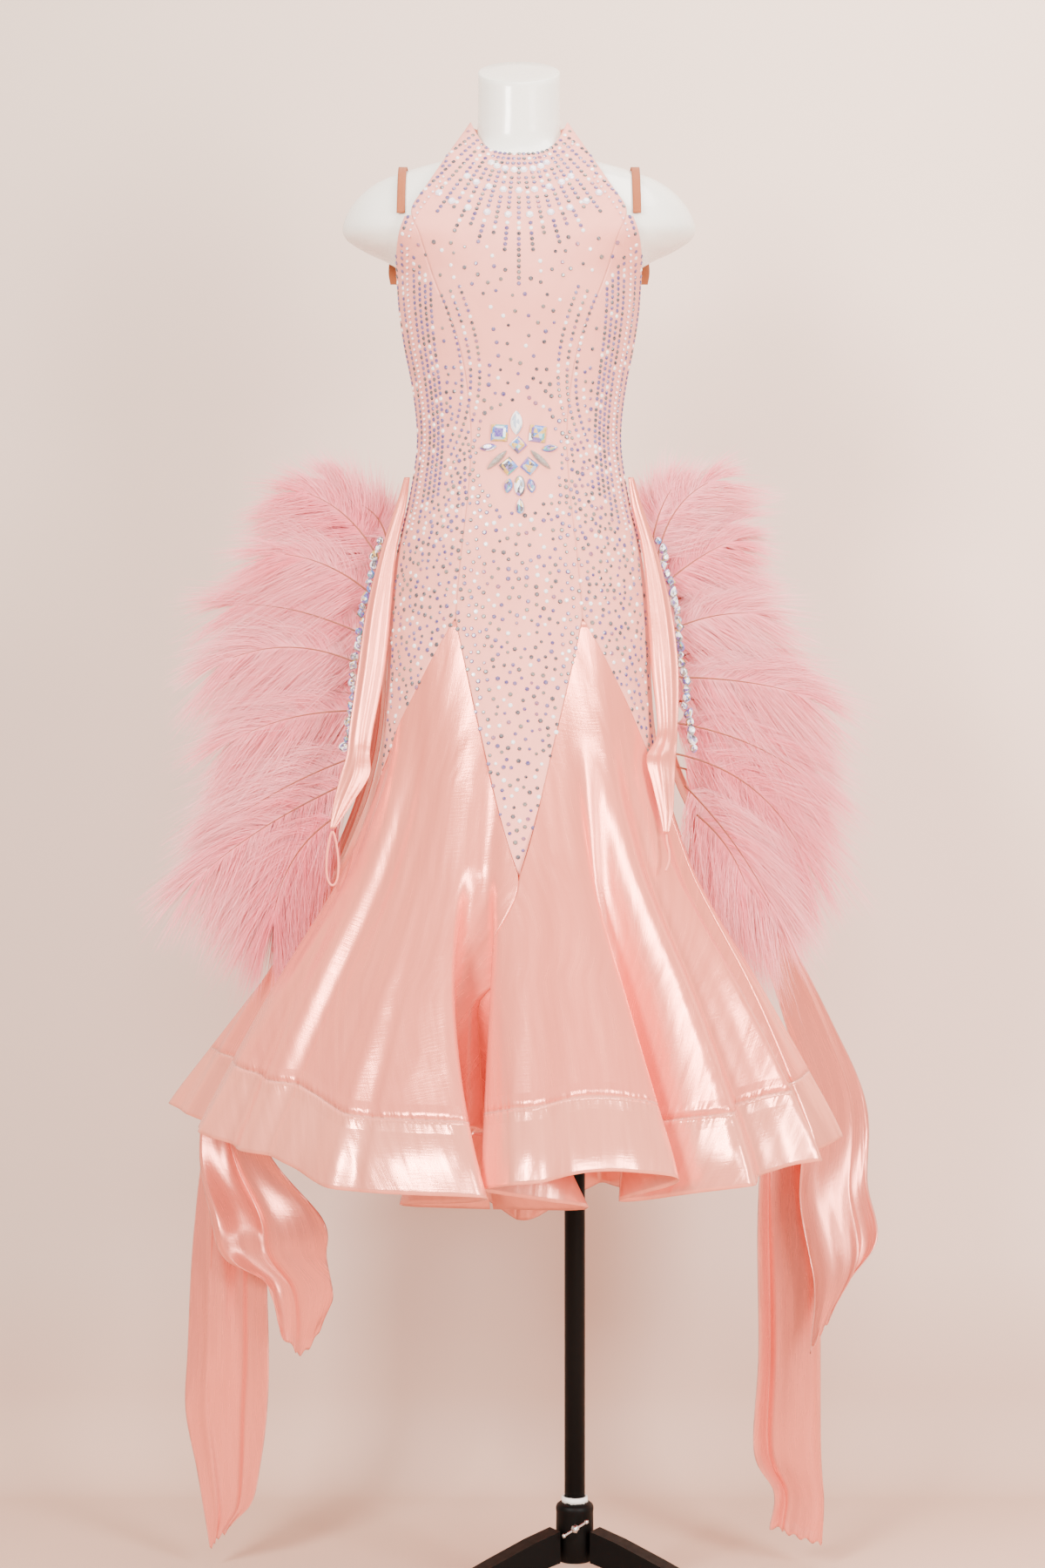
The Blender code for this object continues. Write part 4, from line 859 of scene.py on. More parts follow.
# Which glints the facets of one stone take.
PALETTES = {
    "rainbow": [0.05, 0.15, 0.25, 0.25, 0.35, 0.35, 0.45, 0.55, 0.55, 0.65, 0.85],
    "clear": [0.05, 0.05, 0.05, 0.15, 0.25, 0.35, 0.45, 0.85, 0.95, 0.95],
    "white": [0.05, 0.05, 0.15],
    "nude": [0.95],
    "small": [0.05, 0.05, 0.35, 0.35, 0.45, 0.45, 0.75, 0.85, 0.85, 0.85, 0.85, 0.95, 0.95],
    "lilac": [0.05, 0.35, 0.35, 0.45, 0.45, 0.45, 0.85, 0.85],
    "pearl": [0.05, 0.45, 0.75],
}


def crystal_material(name, dark=0.45, roughness=0.06, glow=0.22):
    """Foiled cut crystal: each facet is painted with its own glint, white, coloured or dark, in place of the
    light it would throw; small painted sparkles lighten it, and it glows a little by emission, which is
    painted light.
    """
    # The emission is painted light: the stone glows though it is no lamp.
    material, tree, shader = principled(
        name, Metallic=0.0, IOR=1.5, Specular_IOR_Level=0.6, Coat_Weight=0.15, Coat_Roughness=0.05,
        Emission_Strength=glow,
    )
    tint = attribute(tree, "tint")
    ramp = tree.nodes.new("ShaderNodeValToRGB")
    ramp.color_ramp.interpolation = "CONSTANT"
    stops = ramp.color_ramp.elements
    for place, colour in GLINTS:
        stop = stops[0] if place == 0 else stops.new(place)
        stop.color = (*shade_of(colour, 1.0 - dark if place else 0.9), 1.0)
    stops[len(stops) - 1].color = (*shade_of(GLINTS[-1][1], 1.0 - dark), 1.0)
    wire(tree, tint, ramp.inputs[0])
    place = object_place(tree)
    # Painted sparkles: small spots lighten the facets towards white.
    spark = node(tree, "ShaderNodeTexVoronoi", Scale=420.0, Vector=place).outputs["Distance"]
    lit = mixed(tree, times(tree, ramped(tree, spark, 0.1, 0.6), 0.12), ramp.outputs[0], (1.0, 1.0, 1.0))
    rough = ramped(tree, spark, 0.0, 0.8, roughness, roughness + 0.06)
    feed(tree, shader, Base_Color=lit, Emission_Color=lit, Roughness=rough)
    return material


def pearl_material(name):
    material, tree, shader = principled(name, Specular_IOR_Level=0.7, Coat_Weight=0.8, Coat_Roughness=0.12)
    tint = attribute(tree, "tint")
    lustre = node(tree, "ShaderNodeLayerWeight", Blend=0.4).outputs["Facing"]
    colour = mixed(tree, tint, (0.86, 0.74, 0.84), (0.95, 0.90, 0.88))
    colour = mixed(tree, times(tree, lustre, 0.5), colour, (0.72, 0.56, 0.74))
    feed(tree, shader, Base_Color=colour, Roughness=ramped(tree, tint, 0, 1, 0.22, 0.34))
    return material


def hard_material(name, colour, roughness, metallic=0.0, wear=0.3, size=60.0, coat=0.0, worn=None, shine=0.5):
    """Moulded shell or coated steel, with small scuffs."""
    material, tree, shader = principled(
        name, Metallic=metallic, Coat_Weight=coat, Coat_Roughness=0.08, Specular_IOR_Level=shine
    )
    place = object_place(tree)
    scuffs = placed_group(tree, wear_group, Vector=place, Size=size, Amount=wear)
    height = scuffs.outputs["Height"]
    tint = mixed(tree, scuffs.outputs["Mask"], colour, worn or shade_of(colour, 0.6))
    rough = ramped(tree, height, 0.3, 0.7, roughness - 0.03, roughness + 0.08)
    feed(tree, shader, Base_Color=tint, Roughness=rough)
    bump(tree, shader, height, 0.12, 0.0004)
    return material


def thread_material(name, colour):
    material, tree, shader = principled(name, Sheen_Weight=0.3)
    place = object_place(tree)
    twist = node(tree, "ShaderNodeTexWave", Scale=900.0, Distortion=2.0, Vector=place).outputs["Fac"]
    tint = mixed(tree, twist, shade_of(colour, 0.8), shade_of(colour, 1.05))
    feed(tree, shader, Base_Color=tint, Roughness=ramped(tree, twist, 0, 1, 0.5, 0.7))
    return material


def paper_material(name, colour):
    """Seamless paper with painted shade: darker to the left, where the light falls off, and darker and warmer
    on the floor and low in the cove; unseen from behind.
    """
    material, tree, shader = principled(name, Specular_IOR_Level=0.1)
    behind = node(tree, "ShaderNodeNewGeometry").outputs["Backfacing"]
    place = object_place(tree)
    parts = node(tree, "ShaderNodeSeparateXYZ", Vector=place)
    cloudy = noise(tree, place, Scale=2.5, Detail=3.0)
    # Painted shade: the paper darkens towards the left.
    across = ramped(tree, parts.outputs["X"], -0.9, 0.5)
    side = mixed(tree, across, shade_of(colour, 0.80), shade_of(colour, 1.10))
    # Painted shade: darker and warmer on the floor and at the foot of the cove.
    level = ramped(tree, parts.outputs["Z"], 0.0, 0.30, 0.75, 0.0)
    tint = mixed(tree, level, side, (0.62, 0.38, 0.27))
    tint = mixed(tree, times(tree, cloudy, 0.06), tint, shade_of(colour, 0.8))
    rough = ramped(tree, cloudy, 0, 1, 0.75, 0.9)
    feed(tree, shader, Base_Color=tint, Roughness=rough, Alpha=maths(tree, "SUBTRACT", 1.0, behind))
    return material


MATERIAL_MAKERS = {
    "jersey": lambda c: jersey_material("jersey", c.jersey[:]),
    "satin": lambda c: satin_material("satin", c.satin[:]),
    # A paler copy of the satin for the hem bands: painted sheen on their broad smooth faces.
    "band_satin": lambda c: satin_material(
        "band_satin", shade_of(c.satin[:], 1.0)[:1] + shade_of(c.satin[:], 1.22)[1:], 0.20, 0.2, 9.0
    ),
    # A darker copy of the satin for the hip bands and floats: painted shade.
    "float_satin": lambda c: satin_material("float_satin", shade_of(c.satin[:], 0.86), 0.26, 0.12, 3.0),
    "elastic": lambda c: jersey_material("elastic", c.strap[:]),
    "feather": lambda c: feather_material("feather", c.feather[:], c.feather_tip[:]),
    "quill": lambda c: quill_material("quill", c.quill[:]),
    "crystal": lambda c: crystal_material("crystal"),
    "small_crystal": lambda c: crystal_material("small_crystal", dark=0.72, roughness=0.16, glow=0.0),
    "pearl": lambda c: pearl_material("pearl"),
    "shell": lambda c: hard_material("shell", c.shell[:], 0.24, wear=0.10, size=34.0, coat=0.5),
    "black_steel": lambda c: hard_material(
        "black_steel", c.black[:], 0.45, wear=0.05, size=90.0, worn=(0.012, 0.011, 0.011), shine=0.10
    ),
    "bright_steel": lambda c: hard_material(
        "bright_steel", (0.62, 0.61, 0.60), 0.22, metallic=1.0, wear=0.3, size=200.0
    ),
    "tape": lambda c: hard_material("tape", (0.80, 0.78, 0.74), 0.7, wear=0.5, size=150.0),
    "thread": lambda c: thread_material("thread", shade_of(c.satin[:], 1.02)),
    "backdrop": lambda c: paper_material("backdrop", c.wall[:]),
}
MATERIALS = {}


def material(name):
    """One of the dress's materials, made when it is first asked for."""
    if name not in MATERIALS:
        MATERIALS[name] = MATERIAL_MAKERS[name](bpy.context.scene.dress_colours)
    return MATERIALS[name]


# ------------------------------------------------------------ bodice
def trimmed(low, high, radius):
    gap = np.degrees(SEAM / radius)
    return low + gap, high - gap


def body_grid(low_name, high_name, columns, rows=70):
    """The bodice between two seams on the right, from the chest down to the hip."""
    heights = np.linspace(CHEST, HIP, rows)
    low = -SEAM_AT["princess"](heights) if low_name == "other" else SEAM_AT[low_name](heights)
    angles = between(*trimmed(low, SEAM_AT[high_name](heights), BODY_RADIUS), columns)
    return ring_point(angles, heights[:, None])


def point_grid(low, high, point, columns, rows=44):
    """A body panel below the hip, closing on its point between two godets."""
    tip = point.reach / float(band_top(point.angle))
    share = np.linspace(0.004, tip - 0.003, rows)
    left, right = godet_edge(low, point, share), godet_edge(high, point, share)
    middle, half = (left + right) / 2, np.maximum((right - left) / 2, 0.42) - 0.143
    angles = between(middle - half, middle + half, columns)
    return skirt_point(angles, share[:, None] * band_top(angles))


def front_grid(columns=64):
    rows = np.linspace(0, SEAM_ROW, 40)
    ratio = np.clip(CHEST_AT["seam"](rows) / CHEST_AT["half_width"](rows), 0, 1)
    lower = np.linspace(SEAM_ROW, len(CHEST_ROWS) - 1, 16)[1:]
    ratio = np.concatenate([ratio, CHEST_AT["seam"](lower) / CHEST_AT["half_width"](lower)])
    rows = np.concatenate([rows, lower])
    edge = np.degrees(np.arcsin(ratio)) / 90 - np.degrees(SEAM / BODY_RADIUS) / 90
    top = chest_point(between(-edge, edge, columns), rows[:, None])
    seam = float(SEAM_AT["princess"](HIP))
    points = point_grid(-seam, seam, POINTS["front"], columns)
    return np.concatenate([top, body_grid("other", "princess", columns)[1:], points])


def side_front_grid(side, columns=34):
    rows = np.linspace(SEAM_ROW, len(CHEST_ROWS) - 1, 16)
    low = np.degrees(np.arcsin(CHEST_AT["seam"](rows) / CHEST_AT["half_width"](rows)))
    angles = between(*trimmed(low, np.full_like(low, 90.0), BODY_RADIUS), columns)
    chest, body = chest_point(angles / 90, rows[:, None]), body_grid("princess", "side", columns)
    upper = np.concatenate([chest, body[1:]])
    low, high = float(SEAM_AT["princess"](HIP)), float(SEAM_AT["side"](HIP))
    return with_point(upper, low, high, POINTS["front_side"], side, columns)


def with_point(upper, low, high, point, side, columns):
    """A panel for one side: its upper part, mirrored for the left, and its own point."""
    if side > 0:
        return np.concatenate([upper, point_grid(low, high, point, columns)])
    lower = point_grid(-high, -low, point._replace(angle=-point.angle), columns)
    return np.concatenate([mirrored(upper), lower])


def back_rows(low_name, high_name, columns, rows=60):
    """The back below its low curved edge, between two seams."""
    share = np.linspace(0, 1, rows)
    height = CHEST + (HIP - CHEST) * share
    low = SEAM_AT[low_name](height)
    high = 360 - low if high_name == "other" else SEAM_AT[high_name](height)
    angles = between(*trimmed(low, high, BODY_RADIUS), columns)
    turn = 180 - np.abs(180 - np.abs(angles))
    top = CHEST + (LOW_BACK - CHEST) * smooth_step((turn - 90) / 90)
    return ring_point(angles, top + (HIP - top) * share[:, None])


def neck_band_grid(columns=40, rows=8):
    """Half of the halter's band, round to the nape."""
    half_width, depth, low, high = 0.0575, 0.0585, 1.6900, 1.7080
    angles = np.radians(np.linspace(97, 179.5, columns))[None, :]
    height = np.linspace(high, low, rows)[:, None]
    grow = (high - height) * 0.12
    parts = (half_width + grow) * np.sin(angles), -(depth + grow) * np.cos(angles), height + 0 * angles
    return np.stack(np.broadcast_arrays(*parts), axis=-1)


def form_depth(x, height, side):
    """How far the form reaches to the front or back at this x and height."""
    width_at, depth_at = column(FORM_RINGS[1:12], "half_width"), column(FORM_RINGS[1:12], side)
    return float(depth_at(height) * sqrt(max(1 - (x / float(width_at(height))) ** 2, 0)))


def strap_grid():
    """An elastic strap over the right shoulder, from the front corner to the back's top edge."""
    x0, width, clear = 0.1325, 0.0095, 0.0036
    path = [(x0, -form_depth(x0, z, "front") - clear, z) for z in (1.590, 1.606, 1.622, 1.636)]
    path += [(x0, -0.026, 1.6510), (x0, 0.0, 1.6550), (x0, 0.030, 1.6510)]
    for z in (1.636, 1.620, 1.600, 1.580):
        x = x0 + 0.012 * float(smooth_step((1.640 - z) / 0.06))
        path.append((x, form_depth(x, z, "back") + clear, z))
    path += [(0.1470, 0.0620, 1.562), (0.1475, 0.0500, 1.546), (0.1450, 0.0400, 1.531)]
    path = np.array(path[::-1])
    fine = np.linspace(0, len(path) - 1, 90)
    path = np.stack([through(range(len(path)), path[:, n])(fine) for n in range(3)], axis=-1)
    across = np.linspace(width / 2, -width / 2, 5)
    return path[:, None] + across[None, :, None] * np.array([1.0, 0, 0])


class DRESS_OT_bodice(bpy.types.Operator):
    """Make the jersey panels, the neck band and the straps"""

    bl_idname = "dress.bodice"
    bl_label = "Bodice"

    def execute(self, context):
        jersey = material("jersey")
        side, back = (float(SEAM_AT[n](HIP)) for n in ("side", "back"))
        cloth("front_panel", front_grid(), "jersey", jersey, "stretched", ["form_torso"])
        back_side = back_rows("side", "back", 34)
        for hand, sign in (("right", 1), ("left", -1)):
            cloth("front_side_" + hand, side_front_grid(sign), "jersey", jersey, "stretched", ["form_torso"])
            grid = with_point(back_side, side, back, POINTS["back_side"], sign, 34)
            cloth("back_side_" + hand, grid, "jersey", jersey, "stretched", ["form_torso"])
            grid = neck_band_grid() if sign > 0 else mirrored(neck_band_grid())
            cloth("neck_band_" + hand, grid, "jersey", jersey, "stretched", ["front_panel_cloth"])
            grid = strap_grid() if sign > 0 else mirrored(strap_grid())
            cloth("strap_" + hand, grid, "strap", material("elastic"), "stretched", ["form_torso"])
        lower = point_grid(back, 360 - back, POINTS["back"], 44)
        grid = np.concatenate([back_rows("back", "other", 44), lower])
        cloth("back_panel", grid, "jersey", jersey, "stretched", ["form_torso"])
        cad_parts["nape_hook"].data.materials.clear()
        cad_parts["nape_hook"].data.materials.append(material("bright_steel"))
        return {"FINISHED"}


# ------------------------------------------------------------ skirt
def godet_angles(godet, side, share, columns):
    low, high = POINTS[godet.low], POINTS[godet.high]
    left, right = godet_edge(godet.apex, low, share), godet_edge(godet.apex, high, share)
    gap = np.degrees(SEAM / (SKIRT_RADIUS + SKIRT_FLARE * share))
    left, right = left + gap, right - gap
    if godet.low == "front":
        left = left + side * front_lean(share)
    return between(left, right, columns) if side > 0 else between(-right, -left, columns)


class DRESS_OT_skirt(bpy.types.Operator):
    """Make the satin godets and their stiffened hem bands"""

    bl_idname = "dress.skirt"
    bl_label = "Skirt"

    def execute(self, context):
        satin, ripple = material("satin"), context.scene.dress_sizes.ripple
        for name, godet in GODETS.items():
            columns = {"front": 140, "side": 84, "back": 84}[name]
            for hand, side in (("right", 1), ("left", -1)):
                share = np.linspace(0.006, 0.99995, 64)
                angles = godet_angles(godet, side, share, columns)
                grid = skirt_point(angles, share[:, None] * band_top(angles), ripple)
                away = (1 - share)[:, None] * 0.5 + 0 * angles
                called = f"godet_{name}_{hand}"
                rests_on = ["front_panel_cloth"] if name == "front" else ["back_panel_cloth"]
                cloth(called, grid, "satin", satin, "hung", rests_on, seam_away=away)
                share = np.linspace(0.0003, 1.0, 18)
                angles = godet_angles(godet, side, np.ones(len(share)), columns)
                tops = band_top(angles)
                grid = skirt_point(angles, tops + (1 - tops) * share[:, None], ripple)
                away = share[:, None] * BAND + 0 * angles
                band, rests_on = f"hem_band_{name}_{hand}", [called + "_cloth"]
                # The hem bands take the paler copy of the satin, with its painted sheen.
                cloth(band, grid, "satin", material("band_satin"), "hung", rests_on, seam_away=away)
        return {"FINISHED"}


# ------------------------------------------------------------ hip bands, ties and floats
def hip_band_grid(band_rows, columns=30, rows=110):
    """A hanging band with soft lengthwise folds, which fades into its kite end."""
    table = by_index(band_rows)
    place = np.linspace(0, len(band_rows) - 1, rows)[:, None]
    share = np.linspace(0, 1, columns)[None, :]
    inner, width = table["inner"](place), table["outer"](place) - table["inner"](place)
    folds = 0.035 * np.sin(3 * pi * share + 0.4 * place) + 0.010 * np.sin(7 * pi * share - 0.5 * place)
    bulge = width * (0.16 * np.sin(pi * share) + folds * np.sin(pi * share) ** 0.5)
    parts = inner + width * share, -table["front"](place) - bulge, table["height"](place)
    return np.stack(np.broadcast_arrays(*parts), axis=-1)


TIE_PATH = [
    (0.1640, -0.1030, 0.8935),
    (0.1645, -0.1070, 0.8850),
    (0.1665, -0.1120, 0.8750),
    (0.1660, -0.1180, 0.8640),
    (0.1620, -0.1240, 0.8540),
]
LOOP_START = (-0.2090, -0.0765, 0.8975)
LOOP_WIDTH, LOOP_HEIGHT, CORD_RADIUS = 0.0065, 0.0300, 0.0013


def float_grid(rows_table, phase, slant, rounding, columns=46, rows=120):
    """A scarf: uneven soft folds across its width, which drift and open as it falls."""
    table = by_index(rows_table)
    place = np.linspace(0, len(rows_table) - 1, rows)[:, None]
    share = np.linspace(-0.5, 0.5, columns)[None, :]
    a = np.radians(table["turn"](place))
    drift = 0.10 * place + 0.25 * np.sin(0.7 * place + phase)
    bent = share + 0.10 * np.sin(2 * pi * share + phase)
    wave = np.sin(2 * pi * 1.25 * bent + phase + drift)
    wave = wave + 0.22 * np.sin(2 * pi * 3.1 * bent - 1.3 * drift + phase)
    wave = wave + 0.025 * np.sin(2 * pi * 7.3 * bent + 2.1 * drift)
    swing = 0.55 * table["pleat"](place) * wave
    across = table["width"](place) * (share + 0.045 * np.sin(2 * pi * 1.7 * bent + 2 * phase))
    x = table["x"](place) + np.cos(a) * across - np.sin(a) * swing
    y = table["y"](place) + np.sin(a) * across + np.cos(a) * swing
    lift = abs(slant) * (0.5 + np.sign(slant) * share) + rounding * (2 * share) ** 2
    lift = lift + 0.0022 * np.sin(11 * pi * share + phase)
    height = table["height"](place) + lift * smooth_step((place - len(rows_table) + 4.0) / 3)
    return np.stack(np.broadcast_arrays(x, y, height), axis=-1)


def edge_distance(grid):
    """How far each point is from the cloth's nearest free edge: its sides and its lower end."""
    run, drop = lengths_along(grid, 1), lengths_along(grid, 0)
    return np.minimum(np.minimum(run, run[:, -1:] - run), drop[-1:] - drop)


class DRESS_OT_sashes(bpy.types.Operator):
    """Make the hip bands, their ties and the long floats"""

    bl_idname = "dress.sashes"
    bl_label = "Bands and Floats"

    def execute(self, context):
        # The hip bands and floats take the darker copy of the satin, with its painted shade.
        satin = material("float_satin")
        bands = hip_band_grid(RIGHT_BAND_ROWS), mirrored(hip_band_grid(LEFT_BAND_ROWS))
        for hand, grid in zip(("right", "left"), bands):
            cloth("hip_band_" + hand, grid, "satin", satin, "hung", [f"front_side_{hand}_cloth"])
        for n, (name, rows) in enumerate(FLOATS.items()):
            grid = float_grid(rows, 1.3 * n, *FLOAT_ENDS[name])
            rests_on = ["back_side_left_cloth" if "left" in name else "back_side_right_cloth"]
            cloth(name, grid, "satin", satin, "hung", rests_on, seam_away=edge_distance(grid))
        loop = []
        for a in np.linspace(0, 2 * pi, 60):
            pinch = 1 - 0.35 * cos(a)
            x, y, z = LOOP_START
            loop.append((x + LOOP_WIDTH * sin(a) * pinch, y, z - 0.0310 + LOOP_HEIGHT * cos(a)))
        end = np.array(TIE_PATH)
        fine = np.linspace(0, len(end) - 1, 40)
        end = np.stack([through(range(len(end)), end[:, n])(fine) for n in range(3)], axis=-1)
        for name, path in (("finger_loop", loop), ("tie_end", end)):
            points, faces = tube(path, CORD_RADIUS)
            mesh = tidy_solid(mesh_from(name, points, faces))
            settle(linked(name + "_cloth", mesh), "figure", material("thread"), [name])
        return {"FINISHED"}


# ------------------------------------------------------------ feathers
def strands(base, direction, bend, length, width, facing, shade, levels=4):
    """Thin tapering ribbons: arrays with one row for each strand."""
    s = np.linspace(0, 1, levels)[None, :, None]
    middle = base[:, None] + direction[:, None] * length[:, None, None] * s + bend[:, None] * s**2
    tangent = np.gradient(middle, axis=1)
    side = np.cross(tangent, facing[:, None])
    side /= np.maximum(np.linalg.norm(side, axis=-1, keepdims=True), 1e-9)
    half = side * (width[:, None, None] * (1 - 0.8 * s**2))
    points = np.stack([middle - half, middle + half], axis=2)
    count = len(base)
    index = np.arange(count * levels * 2).reshape(count, levels, 2)
    faces = np.stack([index[:, :-1, 0], index[:, 1:, 0], index[:, 1:, 1], index[:, :-1, 1]], axis=-1)
    # Each strand's tone: its own dyed tone, plus painted shade that darkens it near the quill and lightens it
    # towards its end.
    shades = np.broadcast_to((shade[:, None] * 0.6 + 0.4 * s[..., 0] ** 2)[..., None], (count, levels, 2))
    return points.reshape(-1, 3), faces.reshape(-1, 4), shades.reshape(-1)


def quill_curve(root, tip, bow, sag, count=40):
    """A feather's shaft from root to tip, bowed in the fan's own plane and drooping."""
    t = np.linspace(0, 1, count)[:, None]
    run = tip - root
    length = np.linalg.norm(run)
    normal = np.cross(run / length, [0, 1.0, 0])
    fall = np.array([0, 0, -1.0]) * sag * length * t**3
    return root + run * t + normal * bow * length * 4 * t * (1 - t) + fall


def fan_feathers(side, layer, count, barbs, seed):
    """One layer of a fan: its barbs and its quills."""
    rng = np.random.default_rng(seed)
    table = by_index(FAN_ROWS[side])
    last = len(FAN_ROWS[side]) - 1
    strands_made, quills, shades = [], [], []
    for place in np.linspace(0.15, last, count):
        jitter = rng.uniform(-1, 1, 6)
        place = np.clip(place + 0.22 * jitter[4] + 0.5 * layer * last / count, 0.1, last)
        reach = 0.93 - 0.08 * (jitter[5] + 1) - 0.06 * layer
        y = FAN_DEPTH - 0.006 + layer * 0.014
        root = np.array([side * table["root_x"](place), y, table["root_z"](place)])
        swept = y + FAN_SWEEP * (0.6 + 0.4 * jitter[0])
        tip = np.array([side * table["tip_x"](place), swept, table["tip_z"](place)])
        tip = root + (tip - root) * reach
        tip[2] += 0.008 * jitter[1]
        shaft = quill_curve(root, tip, side * (0.07 + 0.06 * jitter[2]), 0.05 + 0.04 * jitter[3])
        tangent = np.gradient(shaft, axis=0)
        tangent /= np.linalg.norm(tangent, axis=1)[:, None]
        lifted = shaft[:37] + np.array([0, -0.0150 if layer == 0 else -0.001, 0])
        quills.append(tube(lifted, np.linspace(0.00125, 0.0003, 37), sides=5))
        length = np.linalg.norm(tip - root)
        tone = rng.uniform(0.0, 0.60)
        for hand in (-1, 1):
            t = np.sort(rng.uniform(0.05, 1.0, barbs))
            spot = np.clip((t * 39).astype(int), 0, 38)
            mix = (t * 39 - spot)[:, None]
            base = shaft[spot] * (1 - mix) + shaft[spot + 1] * mix
            along = tangent[spot]
            out = np.cross(along, [0, 1.0, 0]) * hand
            clump = (t * 30 + 0.6 * rng.uniform(-1, 1, barbs)).astype(int)
            own = rng.normal(0, 1, (40, 6))[np.clip(clump, 0, 39)]
            lean = np.radians(66 - 46 * t**1.4 + 5 * own[:, 0] + rng.normal(0, 5, barbs))[:, None]
            direction = along * np.cos(lean) + out * np.sin(lean)
            direction[:, 1] += 0.10 * np.abs(own[:, 1]) + rng.normal(0.02, 0.10, barbs)
            size = 0.038 + 0.030 * np.sin(pi * np.clip(t, 0, 1) ** 0.8)
            size = size * (0.45 + 0.55 * min(length / 0.13, 1.15))
            size *= np.clip(1 + 0.16 * own[:, 2] + rng.normal(0, 0.10, barbs), 0.4, 1.35)
            bend = along * size[:, None] * (0.50 + 0.15 * own[:, 3:4])
            bend += np.array([0, 0, -0.52]) * size[:, None]
            bend += (0.07 * own[:, 3:6] + rng.normal(0, 0.08, (barbs, 3))) * size[:, None]
            facing = np.array([0, 1.0, 0]) + rng.normal(0, 0.5, (barbs, 3))
            tint = np.clip(tone + 0.16 * own[:, 4] + rng.uniform(-0.1, 0.25, barbs), 0, 1)
            width = np.full(barbs, 0.00023)
            made = strands(base, direction, bend, size, width, facing, tint)
            strands_made.append(made[:2])
            shades.append(made[2])
    return joined(strands_made), np.concatenate(shades), joined(quills)


class DRESS_OT_feathers(bpy.types.Operator):
    """Make the two fans of ostrich feathers"""

    bl_idname = "dress.feathers"
    bl_label = "Feather Fans"

    def execute(self, context):
        sizes = context.scene.dress_sizes
        for side, hand in ((1, "right"), (-1, "left")):
            nodes = ["feather_fan_" + hand]
            quills = []
            for layer in (0, 1):
                made = fan_feathers(side, layer, sizes.feathers, sizes.barbs, 11 * layer + side + 5)
                (points, faces), shades, shafts = made
                mesh = mesh_from("barbs", points, faces)
                set_value(mesh, "shade", shades)
                piece = linked(f"feathers_{hand}_{'front' if layer == 0 else 'back'}", mesh)
                settle(piece, "figure", material("feather"), nodes)
                quills.append(shafts)
            points, faces = joined(quills)
            mesh = tidy_solid(mesh_from("quills", points, faces))
            set_value(mesh, "shade", np.random.default_rng(3).uniform(0, 1, len(mesh.vertices)))
            settle(linked("quills_" + hand, mesh), "figure", material("quill"), nodes)
        return {"FINISHED"}


# ------------------------------------------------------------ stones
Stone = namedtuple("Stone", "node cut width height turn palette")
ORNAMENT = rows_of(
    Stone,
    ("stone_top", "navette", 0.0136, 0.0268, 0, "white"),
    ("stone_square_left", "square", 0.0262, 0.0262, 48, "rainbow"),
    ("stone_square_right", "square", 0.0262, 0.0262, 52, "rainbow"),
    ("stone_centre", "square", 0.0205, 0.0205, 2, "rainbow"),
    ("stone_outer_left", "navette", 0.0085, 0.0195, 84, "rainbow"),
    ("stone_outer_right", "navette", 0.0085, 0.0190, 80, "rainbow"),
    ("stone_leaf_left", "navette", 0.0072, 0.0305, 46, "nude"),
    ("stone_leaf_right", "navette", 0.0072, 0.0305, -46, "nude"),
    ("stone_cushion_left", "square", 0.0218, 0.0220, 4, "rainbow"),
    ("stone_cushion_right", "square", 0.0212, 0.0220, -6, "rainbow"),
    ("stone_drop_left", "navette", 0.0095, 0.0170, 10, "rainbow"),
    ("stone_drop_middle", "oval", 0.0122, 0.0236, 0, "clear"),
    ("stone_drop_right", "navette", 0.0098, 0.0170, -8, "rainbow"),
    ("stone_end", "pear", 0.0094, 0.0174, 0, "rainbow"),
)


def outline_of(cut, count=16):
    """A unit outline of a cut stone, one point for each facet."""
    a = np.linspace(0, 2 * pi, count, endpoint=False) + pi / 2
    x, z = np.cos(a), np.sin(a)
    if cut == "navette":
        x = np.sign(x) * np.abs(x) ** 1.55
    elif cut == "pear":
        x = x * (0.78 - 0.30 * z) * 1.15
    elif cut == "square":
        turn = (a - pi / 2) % (pi / 2) - pi / 4
        reach = 0.95 * cos(pi / 4) / np.cos(turn) + 0.05
        x, z = x * reach, z * reach
    return np.stack([x, z], axis=-1)


def cut_stone(cut, width, height, depth):
    """Facets of a stone that lies in the XZ plane and faces -Y, loose so that each is flat."""
    outline = outline_of(cut) * np.array([width, height]) / 2
    count = len(outline)
    between_points = (outline + np.roll(outline, -1, axis=0)) / 2
    levels = [
        (outline, 0.0), (outline, 0.25 * depth), (between_points * 0.80, 0.68 * depth),
        (outline * 0.52, depth),
    ]
    rings = [np.stack([ring[:, 0], np.full(count, -d), ring[:, 1]], axis=-1) for ring, d in levels]
    faces = []
    for low, high, shift in ((0, 1, None), (1, 2, 0), (2, 3, 1)):
        for n in range(count):
            m = (n + 1) % count
            if shift is None:
                faces.append((rings[low][n], rings[high][n], rings[high][m]))
                faces.append((rings[low][n], rings[high][m], rings[low][m]))
            elif shift == 0:
                faces += [(rings[1][n], rings[2][n], rings[1][m]), (rings[1][m], rings[2][n], rings[2][m])]
            else:
                faces += [(rings[2][n], rings[3][m], rings[2][m]), (rings[2][n], rings[3][n], rings[3][m])]
    top, bottom = np.array([0, -depth, 0]), np.array([0, 0.0, 0])
    for n in range(count):
        m = (n + 1) % count
        faces += [(rings[3][n], top, rings[3][m]), (rings[0][n], rings[0][m], bottom)]
    return np.array(faces)


